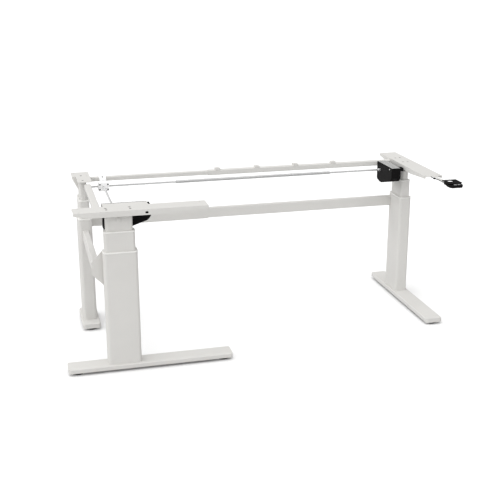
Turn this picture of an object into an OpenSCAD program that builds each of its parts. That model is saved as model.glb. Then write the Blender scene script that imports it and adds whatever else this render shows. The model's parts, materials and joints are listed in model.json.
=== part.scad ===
// Three-leg corner frame of an electric sit-stand desk.
// Frame coordinates: corner column axis on x = 0, y = 0; main run along +x; return run along -y.

/* [Frame] */
// Distance between the corner column and the right column, at rest
column_spacing = 1632; // [1400:1:1750]
// Distance from the main run to the front column
return_depth = 593; // [480:1:900]
// Sideways offset of the front column from the corner column
return_offset = 100; // [90:1:200]
// Height of the tabletop's underside, at rest
top_height = 725; // [700:1:760]

/* [Columns] */
// Long side of the outer tube
outer_long = 146; // [120:1:180]
// Short side of the outer tube
outer_short = 64; // [60:1:90]
// Wall of the outer tube
outer_wall = 2.5; // [1.5:0.1:3]
// Wall of the middle and inner tubes
stage_wall = 2; // [1.5:0.1:2.2]
// Gap between the outer and middle tubes, filled by the glides
outer_gap = 5; // [4:0.5:6]
// Gap between the middle and inner tubes, filled by the glides
middle_gap = 6; // [4:0.5:6]
// Height of the outer tube's top
outer_top = 538; // [500:1:560]
// Height of the middle tube's top, at rest
middle_top = 626; // [600:1:640]
// Length of the middle and inner tubes
stage_length = 500; // [460:1:505]

/* [Feet] */
// Width of a foot
foot_width = 86; // [70:1:110]
// Height of a foot's body
foot_height = 22; // [18:1:32]
// Foot length in front of a column
foot_front = 480; // [350:1:600]
// Foot length behind a column
foot_back = 246; // [150:1:300]
// Corner foot length in front of its column
corner_foot_front = 136; // [110:1:250]
// Corner foot length behind its column
corner_foot_back = 100; // [90:1:200]
// Gap under the feet, set by the levelling feet
floor_gap = 11; // [8:0.5:14]
// Radius of a levelling foot's pad
pad_radius = 28; // [18:1:32]

/* [Top brackets] */
// Width of a top bracket
bracket_width = 88; // [80:1:110]
// Bracket length in front of a column
bracket_front = 378; // [300:1:450]
// Bracket length behind a column
bracket_back = 188; // [150:1:230]
// Sheet thickness of the brackets
sheet = 3; // [2:0.5:4]
// Depth of a bracket's flanges beside the column
flange_depth = 24; // [20:1:30]
// Depth of a bracket's flanges at its ends
flange_end_depth = 12; // [10:1:16]

/* [Beams] */
// Height of the outer main beam and the return beam
beam_height = 56; // [40:1:70]
// Depth of the outer main beam and the return beam
beam_depth = 28; // [20:1:40]
// Height of the main beam's centre line
beam_z = 499; // [440:1:505]
// Height of the return beam's centre line
return_beam_z = 458; // [400:1:490]
// Length of the outer main beam
beam_outer_length = 586; // [400:1:700]
// Wall of the beams and rails
beam_wall = 2; // [1.5:0.1:2.5]
// Height of the outer top rail
rail_height = 25; // [20:1:30]
// Length of the inner top rail that shows, at rest
rail_inner_visible = 590; // [450:1:700]

/* [Drive] */
// Height of the drive shafts' axes, at rest
shaft_z = 680; // [670:1:690]
// Across-flats size of the hexagonal drive rods
rod_flats = 8; // [7:0.5:9]
// Start of the shaft sleeve, from the corner column
sleeve_start = 450; // [400:1:500]
// Length of the shaft sleeve
sleeve_length = 790; // [700:1:820]
// Tilt of the motor
motor_tilt = 14; // [10:1:18]

/* [Handset] */
// Distance of the handset's centre from the right column's axis
handset_offset = 35; // [20:1:60]
// Width of the handset
handset_width = 72; // [60:1:90]
// Diameter of the handset cable
cable_d = 4; // [3:0.5:5]

/* [Hidden] */
$fn = 48;
fit = 0.4;                      // clearance between parts that move past each other
corner_r = 15;                  // corner radius of the outer tubes
foot_top = floor_gap + foot_height;
middle_short = outer_short - 2 * (outer_wall + outer_gap);
middle_long = outer_long - 2 * (outer_wall + outer_gap);
inner_short = middle_short - 2 * (stage_wall + middle_gap);
inner_long = middle_long - 2 * (stage_wall + middle_gap);
middle_r = corner_r - 2;
inner_r = middle_r - 2;
plate_bottom = top_height - sheet;
middle_bottom = middle_top - stage_length;
inner_top = plate_bottom;
inner_bottom = inner_top - stage_length;

run_back = outer_long / 2;                 // back face of the columns on the main run
beam_y = run_back - beam_depth / 2;        // centre line of the main beam and the top rail
rail_depth = beam_depth;
rail_z = plate_bottom - 6 - rail_height / 2;
beam_start = outer_short / 2;
beam_insert = 280;                         // length of an inner beam inside the outer one
beam_inner_start = beam_start + beam_outer_length - beam_insert;
flange_t = 5;                              // plate between the return beam and the front column
rail_join = beam_start + rail_inner_visible;
rail_end = column_spacing - bracket_width / 2;
return_rail_x = 18;
tab_first = rail_join + 48;                // raised tabs on the outer top rail
tab_width = 24;
tab_pitch = 202;

end_x = column_spacing + handset_offset + handset_width / 2;
centre_x = (end_x + return_offset - foot_back) / 2;
front_y = -return_depth - max(bracket_width, foot_width) / 2;
centre_y = (front_y + foot_back) / 2;

rod_r = rod_flats / 2 / cos(30);           // corner radius of the hexagonal rods
sleeve_r = rod_r + 2.4;
tube_pass_r = rod_r + 1.2;                 // hole for a rod in a tube wall

screw_r = 5;                               // upper lead screw
screw_length = 480;
hollow_r = 8;                              // lower lead screw, hollow
hollow_bore = screw_r + 0.3;
nut_fit = 0.05;
post_r = 11;                               // floor post, carries the lower nut
post_bore = hollow_r + 1.2;
post_top = 470;
nut_height = 20;
carrier_r = min(14, inner_short / 2 - stage_wall - 0.5);
carrier_bore = post_r + 1.5;
carrier_top = 590;
carrier_head = 25;
gear_r = 11;                               // bevel gears at the column heads
gear_face = 5;
corner_gear_r = 16;                        // bevel gears in the corner gearbox
corner_gear_face = 7;

case_out = 117;                            // drive case: outer side, from the column's axis
case_width = 50;
case_front = 148;
case_back = 58;
motor_back = beam_y - rail_depth / 2 - 0.5; // the motor's case stops in front of the top rail
case_top = plate_bottom - 6;
case_front_low = 651;                      // height of the shallow end's lower corner
motor_case = [615, 624];                   // lowest point and deep end's corner, motor case
front_case = [606, 610];                   // the same for the front leg's cover
case_wall = 3;
case_mid = case_out - case_width / 2;      // middle plane of the drive case
wing_start = 12 - case_front;              // the front bracket's wing, over the cover
wing_length = case_front + case_back - 13;
wheel_r = 18;
worm_r = 6;
worm_distance = wheel_r + worm_r + 0.4;
motor_r = 20.5;
motor_start = 34;
motor_length = 98;

top_hole_x = 30;                             // sideways place of the tabletop screws
screw_hole_r = 3;
head_x = inner_short / 2 - 6;              // screws between a bracket and its column
head_y = inner_long / 2 - 7.5;
bolt_hole_x = 14;                          // larger holes on the drive side of a bracket
bolt_hole_r = 6.5;
head_screw_r = 2.5;
head_wide_r = 5.1;
head_sink = 2.2;                           // depth of a head screw's cone
stud_r = 4;
pad_inset = 40;

handset_x = column_spacing + handset_offset;
handset_back = -465;
handset_front = -560;
handset_plate = 3;
handset_low = top_height - 19;
handset_body_back = handset_back - 44;     // where the keypad starts, ahead of the hole in its bracket
rail_back = 24;                            // reach of the handset's side rail behind the keypad
button_y = -546;
button_gap = 18;
button_size = 13;

// Route of the handset cable, from the motor case's lip to the handset, seen from the right column's
// axis. It is held all the way.
cable_start = [-66.3, -90, shaft_z + 12];
cable_route = [cable_start, cable_start + [12, 0, 0], [-38, -97, shaft_z + 10], [-20, -115, shaft_z + 14],
               [-6, -150, top_height - 21], [2, -200, top_height - 13], [4, -260, top_height - 12],
               [4, -320, top_height - 13], [5, -380, top_height - 12], [8, -420, top_height - 11],
               [11, -455, top_height - 13], [11, handset_body_back + rail_back + 0.7, top_height - 11]];

paint = [0.86, 0.855, 0.84];
black = [0.14, 0.14, 0.145];
steel = [0.72, 0.73, 0.74];
clear_white = [0.95, 0.95, 0.95];
nylon = [0.8, 0.8, 0.79];
brass = [0.8, 0.66, 0.35];

// ---- placing ----

module in_frame() { translate([-centre_x, -centre_y, 0]) children(); }
module at_corner() { in_frame() children(); }
module at_right() { in_frame() translate([column_spacing, 0, 0]) children(); }
// The front leg is turned a quarter turn, so its local -y points along the frame's +x.
module at_front() { in_frame() translate([return_offset, -return_depth, 0]) rotate([0, 0, 90]) children(); }

// ---- shared shapes ----

module rounded_rect(w, l, r) {
    square([w - 2 * r, l], center = true);
    square([w, l - 2 * r], center = true);
    for (x = [-1, 1]) for (y = [-1, 1]) translate([x * (w / 2 - r), y * (l / 2 - r)]) circle(r);
}

module rounded_tube_section(w, l, r, wall) {
    difference() {
        rounded_rect(w, l, r);
        rounded_rect(w - 2 * wall, l - 2 * wall, max(r - wall, 1));
    }
}

module tube(w, l, r, wall, low, high) {
    translate([0, 0, low]) linear_extrude(high - low) rounded_tube_section(w, l, r, wall);
}

// A rectangular tube along +x whose section is depth (y) by height (z).
module beam_x(depth, height, wall, start, length) {
    translate([start, 0, 0]) rotate([90, 0, 90]) linear_extrude(length)
        rounded_tube_section(depth, height, 4, wall);
}

// A hexagonal rod along +x, with two flats upright.
module rod_x(r, start, length) {
    translate([start, 0, 0]) rotate([0, 90, 0]) cylinder(r = r, h = length, $fn = 6);
}

// A bevel gear blank whose pitch cone meets the origin, opening towards -z.
module bevel(r, face, hub) {
    teeth = 16;
    difference() {
        union() {
            translate([0, 0, -r]) cylinder(r1 = r - fit, r2 = r - face - fit, h = face);
            translate([0, 0, -r - hub]) cylinder(r = r - 2.5, h = hub + 0.01);
        }
        for (i = [0:teeth - 1]) rotate([0, 0, i * 360 / teeth]) translate([r - fit, 0, -r])
            rotate([0, -45, 0]) cube([1.4, r * 0.16, 4 * face], center = true);
    }
}

// ---- feet ----

module foot(front, back) {
    length = front + back;
    middle = (back - front) / 2;
    wall = 3;
    difference() {
        translate([0, middle, floor_gap]) intersection() {
            linear_extrude(foot_height) rounded_rect(foot_width, length, 14);
            translate([0, length / 2, foot_height / 2]) rotate([90, 0, 0]) linear_extrude(length)
                rounded_rect(foot_width, foot_height, 5);
        }
        for (span = [[-front + 2 * pad_inset, -outer_long / 2 - 8], [-outer_long / 2 + 8, outer_long / 2 - 8],
                     [outer_long / 2 + 8, back - 2 * pad_inset]])
            if (span[1] - span[0] > 20)
                translate([-foot_width / 2 + 2 * wall, span[0], floor_gap - 1])
                    cube([foot_width - 4 * wall, span[1] - span[0], foot_height - wall + 1]);
        for (y = [-front + pad_inset, back - pad_inset])
            translate([0, y, floor_gap - 1]) cylinder(r = stud_r + nut_fit, h = foot_height - 4);
    }
}

module levelling_foot(y) {
    color(black) translate([0, y, 0]) {
        cylinder(r1 = pad_radius, r2 = pad_radius, h = 3);
        translate([0, 0, 3]) cylinder(r1 = pad_radius, r2 = pad_radius - 5, h = floor_gap - 3.4);
        cylinder(r = stud_r, h = floor_gap + 16);
    }
}

module corner_foot() { color(paint) at_corner() foot(corner_foot_front, corner_foot_back); }
module front_foot() { color(paint) at_front() foot(foot_front, foot_back); }
module right_foot() { color(paint) at_right() foot(foot_front, foot_back); }
module corner_pad_front() { at_corner() levelling_foot(-corner_foot_front + pad_inset); }
module corner_pad_back() { at_corner() levelling_foot(corner_foot_back - pad_inset); }
module front_pad_left() { at_front() levelling_foot(foot_back - pad_inset); }
module front_pad_right() { at_front() levelling_foot(-foot_front + pad_inset); }
module right_pad_front() { at_right() levelling_foot(-foot_front + pad_inset); }
module right_pad_back() { at_right() levelling_foot(foot_back - pad_inset); }

// ---- columns ----

module outer_tube() {
    color(paint) tube(outer_short, outer_long, corner_r, outer_wall, foot_top, outer_top);
}

module corner_outer_tube() { at_corner() outer_tube(); }
module front_outer_tube() { at_front() outer_tube(); }
module right_outer_tube() { at_right() outer_tube(); }

module middle_tube() {
    color(paint) {
        tube(middle_short, middle_long, middle_r, stage_wall, middle_bottom, middle_top);
        translate([0, 0, middle_bottom]) linear_extrude(6) difference() {
            rounded_rect(middle_short - stage_wall, middle_long - stage_wall, middle_r);
            circle(carrier_bore);
        }
    }
}

module corner_middle_tube() { at_corner() middle_tube(); }
module front_middle_tube() { at_front() middle_tube(); }
module right_middle_tube() { at_right() middle_tube(); }

// side is where the shaft comes in; open_side is where the bracket's screws are, 0 for the middle.
module inner_tube(side, open_side) {
    bearing_z = shaft_z - 40;
    plate = 4;
    color(paint) difference() {
        union() {
            tube(inner_short, inner_long, inner_r, stage_wall, inner_bottom, inner_top);
            for (z = [bearing_z, inner_top - plate]) translate([0, 0, z]) linear_extrude(plate)
                rounded_rect(inner_short - stage_wall, inner_long - stage_wall, inner_r);
        }
        translate([0, 0, bearing_z - 1]) cylinder(r = screw_r + nut_fit, h = plate + 2);
        translate([side * (inner_short / 2 - stage_wall - 3), 0, shaft_z]) rotate([0, side * 90, 0])
            cylinder(r = tube_pass_r, h = stage_wall + 6);
        for (y = [-1, 1]) translate([open_side * head_x, y * head_y, inner_top - plate - 1])
            cylinder(r = head_screw_r + nut_fit, h = plate + 2);
    }
}

module corner_inner_tube() { at_corner() inner_tube(1, 0); }
module front_inner_tube() { at_front() inner_tube(1, -1); }
module right_inner_tube() { at_right() inner_tube(-1, 1); }

// A glide is a nylon sleeve in the gap between two stages, with a rim on the outer stage's top.
module glide(out_short, out_long, out_r, wall, in_short, in_long, in_r, top) {
    inset = fit / 2;
    rim = 5;
    proud = 1.2;
    color(nylon) difference() {
        union() {
            translate([0, 0, top - 60]) linear_extrude(60)
                rounded_rect(out_short - 2 * wall - 2 * inset, out_long - 2 * wall - 2 * inset, out_r - wall);
            translate([0, 0, top]) linear_extrude(rim)
                rounded_rect(out_short + 2 * proud, out_long + 2 * proud, out_r + proud);
        }
        translate([0, 0, top - 61]) linear_extrude(62 + rim)
            rounded_rect(in_short + 2 * fit, in_long + 2 * fit, in_r + fit);
    }
}

module outer_glide() {
    glide(outer_short, outer_long, corner_r, outer_wall, middle_short, middle_long, middle_r, outer_top);
}

module middle_glide() {
    glide(middle_short, middle_long, middle_r, stage_wall, inner_short, inner_long, inner_r, middle_top);
}

module base_glides() {
    at_corner() outer_glide();
    at_front() outer_glide();
}

module right_base_glide() { at_right() outer_glide(); }
module corner_middle_glide() { at_corner() middle_glide(); }
module front_middle_glide() { at_front() middle_glide(); }
module right_middle_glide() { at_right() middle_glide(); }

// ---- telescopic spindles ----

module floor_post() {
    color(steel) difference() {
        union() {
            translate([0, 0, foot_top]) cylinder(r = post_r, h = post_top - foot_top);
            translate([-20, -40, foot_top]) cube([40, 80, 5]);
        }
        translate([0, 0, foot_top - 1]) cylinder(r = post_bore, h = post_top - foot_top - nut_height + 1);
        translate([0, 0, foot_top]) cylinder(r = hollow_r + nut_fit, h = post_top - foot_top + 1);
    }
}

module base_floor_posts() {
    at_corner() floor_post();
    at_front() floor_post();
}

module right_floor_post() { at_right() floor_post(); }

// Stands on the middle tube's bottom plate inside the inner tube and holds the upper nut.
module nut_carrier() {
    color(brass) difference() {
        union() {
            translate([0, 0, middle_bottom + 6]) cylinder(r = carrier_r, h = carrier_top - middle_bottom - 6);
            translate([-18, -30, middle_bottom + 6]) cube([36, 60, 4]);
        }
        translate([0, 0, middle_bottom + 5])
            cylinder(r = carrier_bore, h = carrier_top - carrier_head - middle_bottom - 5);
        translate([0, 0, carrier_top - carrier_head - 1])
            cylinder(r = screw_r + nut_fit, h = carrier_head + 2);
    }
}

module corner_nut_carrier() { at_corner() nut_carrier(); }
module front_nut_carrier() { at_front() nut_carrier(); }
module right_nut_carrier() { at_right() nut_carrier(); }

module upper_screw() {
    color(steel) {
        translate([0, 0, shaft_z - gear_r - 3 - screw_length]) cylinder(r = screw_r, h = screw_length);
        translate([0, 0, shaft_z]) bevel(gear_r, gear_face, 3);
    }
}

module corner_upper_screw() { at_corner() upper_screw(); }
module front_upper_screw() { at_front() upper_screw(); }
module right_upper_screw() { at_right() upper_screw(); }

module lower_screw() {
    top = carrier_top - carrier_head - 0.4;
    low = foot_top + 117;
    color(steel) difference() {
        union() {
            translate([0, 0, low]) cylinder(r = hollow_r, h = top - low);
            translate([0, 0, top - 8]) cylinder(r = carrier_bore - 0.5, h = 8);
        }
        translate([0, 0, low - 1]) cylinder(r = hollow_bore, h = top - low + 2);
    }
}

module corner_lower_screw() { at_corner() lower_screw(); }
module front_lower_screw() { at_front() lower_screw(); }
module right_lower_screw() { at_right() lower_screw(); }

// ---- beams between the outer tubes ----

// Plate inside the end of a beam, which its screws pull against the column.
module end_plate(x, depth, height) {
    plate_thick = 3;
    translate([x + plate_thick / 2, 0, 0])
        cube([plate_thick, depth - 2 * beam_wall + 0.5, height - 2 * beam_wall + 0.5], center = true);
}

module main_beam_outer() {
    color(paint) in_frame() translate([0, beam_y, beam_z]) {
        beam_x(beam_depth, beam_height, beam_wall, beam_start, beam_outer_length);
        end_plate(beam_start, beam_depth, beam_height);
    }
}

module main_beam_inner() {
    length = column_spacing - outer_short / 2 - beam_inner_start;
    inner_depth = beam_depth - 2 * (beam_wall + fit);
    inner_height = beam_height - 2 * (beam_wall + fit);
    color(paint) in_frame() translate([0, beam_y, beam_z]) {
        beam_x(inner_depth, inner_height, beam_wall, beam_inner_start, length);
        end_plate(column_spacing - outer_short / 2 - 3, inner_depth, inner_height);
    }
}

// Runs from the corner column's front face to a flange plate on the front column's long side.
module return_beam() {
    plate_y = -return_depth + outer_short / 2;
    plate_half = 76;
    chamfer_half = 27;
    beam_reach = beam_depth / 2 + 5;
    column_left = return_offset - outer_long / 2;
    length = return_depth - outer_long / 2 - outer_short / 2 - flange_t;
    color(paint) in_frame() {
        translate([0, -outer_long / 2 - length, return_beam_z]) rotate([0, 0, 90])
            beam_x(beam_depth, beam_height, beam_wall, 0, length);
        translate([0, plate_y + flange_t, return_beam_z]) rotate([90, 0, 0])
            linear_extrude(flange_t) polygon([
            [-beam_reach, -chamfer_half], [column_left, -plate_half],
            [column_left + 60, -plate_half], [column_left + 60, plate_half],
            [column_left, plate_half], [-beam_reach, chamfer_half]]);
    }
}

// ---- rails between the top brackets ----

module rear_rail_inner() {
    start = inner_short / 2 + 1.5;
    length = rail_join + beam_insert - start;
    inner_depth = rail_depth - 2 * (beam_wall + fit);
    inner_height = rail_height - 2 * (beam_wall + fit);
    color(paint) in_frame() translate([0, beam_y, rail_z])
        beam_x(inner_depth, inner_height, beam_wall, start, length);
}

module rear_rail_outer() {
    rail_top = rail_z + rail_height / 2;
    color(paint) in_frame() {
        translate([0, beam_y, rail_z])
            beam_x(rail_depth, rail_height, beam_wall, rail_join, rail_end - rail_join);
        for (i = [0:3]) translate([tab_first + i * tab_pitch, beam_y, rail_top - 0.5]) difference() {
            translate([-tab_width / 2, -rail_depth / 2, 0])
                cube([tab_width, rail_depth, top_height - rail_top + 0.5]);
            translate([0, 0, 1]) cylinder(r = screw_hole_r, h = 20);
        }
    }
}

module return_rail() {
    start = -outer_long / 2 - 12;
    finish = -return_depth + bracket_width / 2;
    color(paint) in_frame() translate([return_rail_x, finish, rail_z]) rotate([0, 0, 90])
        beam_x(30, rail_height - 5, beam_wall, 0, start - finish);
}

// ---- top brackets ----

// Countersunk hole for one of the screws that hold a bracket on its column.
module head_screw_hole(x, y) {
    hole_r = head_screw_r + nut_fit;
    translate([x, y, plate_bottom - 1]) cylinder(r = hole_r, h = sheet + 2);
    translate([x, y, top_height - head_sink])
        cylinder(r1 = hole_r, r2 = head_wide_r + 0.1, h = head_sink + 0.01);
}

// Channel with its flanges tapered towards both ends. side is where the drive case hangs.
module bracket(side) {
    taper_back = 110;
    taper_front = 220;
    slot_y = -115;
    slot_r = 5;
    slot_half = 2;
    color(paint) difference() {
        union() {
            translate([-bracket_width / 2, -bracket_front, plate_bottom])
                cube([bracket_width, bracket_front + bracket_back, sheet]);
            for (x = [-bracket_width / 2, bracket_width / 2 - sheet]) translate([x, 0, 0])
                rotate([90, 0, 90]) linear_extrude(sheet) polygon([
                    [bracket_back, top_height], [bracket_back, top_height - flange_end_depth],
                    [taper_back, top_height - flange_depth], [-taper_front, top_height - flange_depth],
                    [-bracket_front, top_height - flange_end_depth], [-bracket_front, top_height]]);
        }
        for (x = [-1, 1]) for (y = [bracket_back - 24, -bracket_front + 24])
            translate([x * top_hole_x, y, plate_bottom - 1]) cylinder(r = screw_hole_r, h = sheet + 2);
        for (y = [-1, 1]) {
            head_screw_hole(-side * head_x, y * head_y);
            translate([side * bolt_hole_x, y * head_y, plate_bottom - 1])
                cylinder(r = bolt_hole_r, h = sheet + 2);
        }
        translate([-side * bracket_width / 2, 0, top_height - 13]) {
            for (end = [-1, 1]) translate([0, slot_y + end * slot_half, 0]) rotate([0, 90, 0])
                cylinder(r = slot_r, h = 3 * sheet, center = true);
            translate([0, slot_y, 0]) cube([3 * sheet, 2 * slot_half, 2 * slot_r], center = true);
        }
    }
}

module right_bracket() { at_right() bracket(-1); }

// The front bracket also carries a lower wing that closes the gear cover.
module front_bracket() {
    at_front() {
        bracket(1);
        color(paint) translate([bracket_width / 2 - sheet, wing_start, case_top])
            cube([case_out - case_wall - fit - bracket_width / 2 + sheet, wing_length, sheet]);
    }
}

module corner_bracket() {
    back = 126;
    step = 28;
    wide = 84;
    narrow_left = -25;
    front = -outer_long / 2 - 12;
    color(paint) in_frame() {
        difference() {
            union() {
                translate([-wide / 2 - 2, step, plate_bottom]) cube([wide, back - step, sheet]);
                translate([narrow_left, front, plate_bottom])
                    cube([wide / 2 - 2 - narrow_left, step - front, sheet]);
            }
            for (x = [-wide / 2 + 12, wide / 2 - 16]) for (y = [step + 14, back - 14])
                translate([x, y, plate_bottom - 1]) cylinder(r = screw_hole_r, h = sheet + 2);
            for (y = [-1, 1]) head_screw_hole(0, y * head_y);
        }
        translate([0, step + sheet, 0]) rotate([90, 0, 0]) linear_extrude(sheet) {
            polygon([[-wide / 2 - 2, top_height - 1], [-wide / 2 - 2, top_height - 8],
                     [-inner_short / 2, 662], [-inner_short / 2, top_height - 1]]);
            polygon([[wide / 2 - 2, top_height - 1], [wide / 2 - 2, 703],
                     [inner_short / 2, 695], [inner_short / 2, top_height - 1]]);
        }
    }
}

// ---- drive case ----

// Side profile of the drive case in local y and z, open at the top.
module case_profile(back, lows, inset) {
    low = lows[0] + inset;
    back_low = lows[1] + inset;
    polygon([[back - inset, case_top], [back - inset, back_low + 6],
             [back - inset - 8, back_low - 2], [5, low],
             [-12, low], [-case_front + inset + 14, case_front_low + inset - 4],
             [-case_front + inset, case_front_low + inset + 14], [-case_front + inset, case_top]]);
}

module case_shell(side, back, lows) {
    inner_side = case_out - case_width;
    lip = 14;
    difference() {
        union() {
            translate([side > 0 ? inner_side : -case_out, 0, 0]) rotate([90, 0, 90])
                linear_extrude(case_width) case_profile(back, lows, 0);
            translate([side > 0 ? inner_side - lip : -inner_side - 1, -case_front + 4, case_top - lip])
                cube([lip + 1, 30, lip]);
            translate([side > 0 ? inner_short / 2 : -inner_side - 1, -14, shaft_z - 14])
                cube([inner_side + 1 - inner_short / 2, 28, 28]);
        }
        translate([side > 0 ? inner_side + case_wall : -case_out + case_wall, 0, 0]) rotate([90, 0, 90])
            linear_extrude(case_width - 2 * case_wall) case_profile(back, lows, case_wall);
        translate([side > 0 ? inner_side - 60 : -case_out - 5, 0, shaft_z]) rotate([0, 90, 0])
            cylinder(r = tube_pass_r + 2, h = case_width + 65);
    }
}

// The front leg's cover has a low rim beside the bracket's wing.
module front_gear_cover() {
    color(black) at_front() {
        case_shell(1, case_back, front_case);
        translate([case_out - case_wall, wing_start - 1, case_top - 1])
            cube([case_wall, wing_length + 2, sheet + 1.5]);
    }
}

module motor_housing() {
    color(black) at_right() difference() {
        case_shell(-1, motor_back, motor_case);
        translate([-case_mid, motor_back, 668]) cube([27, 2 * case_wall + 1, 20], center = true);
    }
}

module worm_place() {
    translate([-case_mid, -sin(motor_tilt) * worm_distance, shaft_z - cos(motor_tilt) * worm_distance])
        rotate([90 - motor_tilt, 0, 0]) children();
}

module motor_gearcase() {
    gap = 0.5;
    width = case_width - 2 * case_wall - 2 * gap;
    front = case_front - case_wall - gap;
    back = motor_back - case_wall - gap;
    gears_half = 28;
    gears_low = shaft_z - 40;
    lid = 7;
    rib = 4;
    groove = 3;
    groove_pitch = 11;
    color([0.62, 0.62, 0.61]) at_right() difference() {
        union() {
            translate([-case_mid - width / 2, -gears_half, gears_low])
                cube([width, gears_half + back, case_top - gears_low]);
            translate([-case_mid - width / 2, -front, case_top - lid]) cube([width, front + back, lid]);
        }
        for (i = [-1:1]) translate([-case_mid + i * groove_pitch - groove / 2, -front - 1, case_top - rib])
            cube([groove, front + back + 2, rib + 1]);
        translate([-case_mid - 7, 0, shaft_z]) rotate([0, 90, 0]) cylinder(r = wheel_r + 1, h = 14);
        translate([-case_out, 0, shaft_z]) rotate([0, 90, 0]) cylinder(r = rod_r + fit, h = case_width);
        worm_place() translate([0, 0, -30]) cylinder(r = worm_r + 1, h = 80);
    }
}

module motor_can() {
    color([0.3, 0.3, 0.31]) at_right() worm_place() translate([0, 0, motor_start]) difference() {
        cylinder(r = motor_r, h = motor_length);
        translate([0, 0, 3]) cylinder(r = motor_r - 2.5, h = motor_length - 6);
        translate([0, 0, -1]) cylinder(r = 3.5, h = 6);
    }
}

module motor_rotor() {
    color(steel) at_right() worm_place() {
        translate([0, 0, -18]) cylinder(r = worm_r, h = 36);
        translate([0, 0, 17]) cylinder(r = 3, h = motor_start + motor_length - 25);
        translate([0, 0, motor_start + 12]) cylinder(r = 8.5, h = motor_length - 40);
    }
}

// ---- shafts ----

module mesh_x(x, dir) { translate([x, 0, shaft_z]) rotate([0, dir * 90, 0]) children(); }

module shaft_rod_left() {
    start = gear_r - 1;
    color(steel) in_frame() {
        translate([0, 0, shaft_z]) rod_x(rod_r, start, sleeve_start + 150 - start);
        mesh_x(0, -1) bevel(gear_r, gear_face, 2);
        mesh_x(return_offset, -1) bevel(corner_gear_r, corner_gear_face, 4);
    }
}

module shaft_sleeve() {
    hole_pitch = 25;
    hole_count = floor((sleeve_length - 40) / hole_pitch);
    color(steel) in_frame() translate([0, 0, shaft_z]) difference() {
        translate([sleeve_start, 0, 0]) rotate([0, 90, 0]) cylinder(r = sleeve_r, h = sleeve_length);
        rod_x(rod_r + 0.1, sleeve_start - 1, 152);
        rod_x(rod_r + fit, sleeve_start + 150, sleeve_length);
        for (i = [0:hole_count - 1]) translate([sleeve_start + 20 + i * hole_pitch, 0, 0])
            rotate([90, 0, 0]) cylinder(r = 2.5, h = 3 * sleeve_r, center = true, $fn = 24);
    }
}

module shaft_rod_right() {
    start = sleeve_start + 450;
    color(steel) in_frame() translate([0, 0, shaft_z]) {
        rod_x(rod_r, start, column_spacing + gear_r - start);
        translate([column_spacing - case_mid - 6, 0, 0]) rotate([0, 90, 0]) cylinder(r = wheel_r, h = 12);
        translate([column_spacing, 0, 0]) rotate([0, -90, 0]) bevel(gear_r, gear_face, 2);
    }
}

module cross_shaft() {
    far = return_depth - gear_r + 1;
    color(steel) in_frame() translate([return_offset, 0, shaft_z]) rotate([0, 0, -90]) {
        rod_x(rod_r, corner_gear_r - 1, far - corner_gear_r + 1);
        rotate([0, -90, 0]) bevel(corner_gear_r, corner_gear_face, 4);
        translate([return_depth, 0, 0]) rotate([0, 90, 0]) bevel(gear_r, gear_face, 2);
    }
}

// Moulded gearbox that hangs from the rear rail by a hook.
module corner_gearbox() {
    half_x = 25;
    half_y = 23;
    half_z = 20;
    hook_half = 16;
    hook_back = beam_y - rail_depth / 2 + beam_wall + fit;
    color(clear_white) in_frame() translate([return_offset, 0, 0]) {
        difference() {
            translate([-half_x, -half_y, shaft_z - half_z]) cube([2 * half_x, 2 * half_y, 2 * half_z]);
            translate([-half_x + 3, -half_y + 3, shaft_z - half_z + 3])
                cube([2 * half_x - 6, 2 * half_y - 6, 2 * half_z - 6]);
            translate([-half_x - 1, 0, shaft_z]) rotate([0, 90, 0])
                cylinder(r = rod_r + fit, h = 2 * half_x + 2);
            translate([0, 0, shaft_z]) rotate([90, 0, 0]) cylinder(r = rod_r + fit, h = half_y + 1);
            for (x = [-1, 1]) for (z = [-1, 1]) translate([x * 19, -half_y + 2, shaft_z + z * 12])
                rotate([90, 0, 0]) cylinder(r = 3, h = 4);
        }
        difference() {
            translate([-hook_half, half_y - 3, shaft_z + half_z - 8])
                cube([2 * hook_half, hook_back - half_y + 3, top_height - 5 - shaft_z - half_z + 8]);
            translate([0, half_y + 8, shaft_z]) cylinder(r = 4, h = 60);
        }
    }
}

// ---- screws ----

module head_screw(x, y) {
    translate([x, y, top_height - head_sink]) cylinder(r1 = head_screw_r, r2 = head_wide_r, h = head_sink);
    translate([x, y, inner_top - 4]) cylinder(r = head_screw_r, h = sheet + 3);
}

module top_screws() {
    color(paint) {
        at_corner() for (y = [-1, 1]) head_screw(0, y * head_y);
        at_front() for (y = [-1, 1]) head_screw(-head_x, y * head_y);
    }
}

module right_top_screws() { color(paint) at_right() for (y = [-1, 1]) head_screw(head_x, y * head_y); }

// ---- handset ----

module handset_strip() {
    width = 14;
    thick = 2;
    low_y = handset_back - 16;
    high_y = 30 - bracket_front;
    color(paint) in_frame() translate([handset_x - handset_width / 2 + 2, low_y, plate_bottom - thick])
        cube([width, high_y - low_y, thick]);
}

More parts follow.
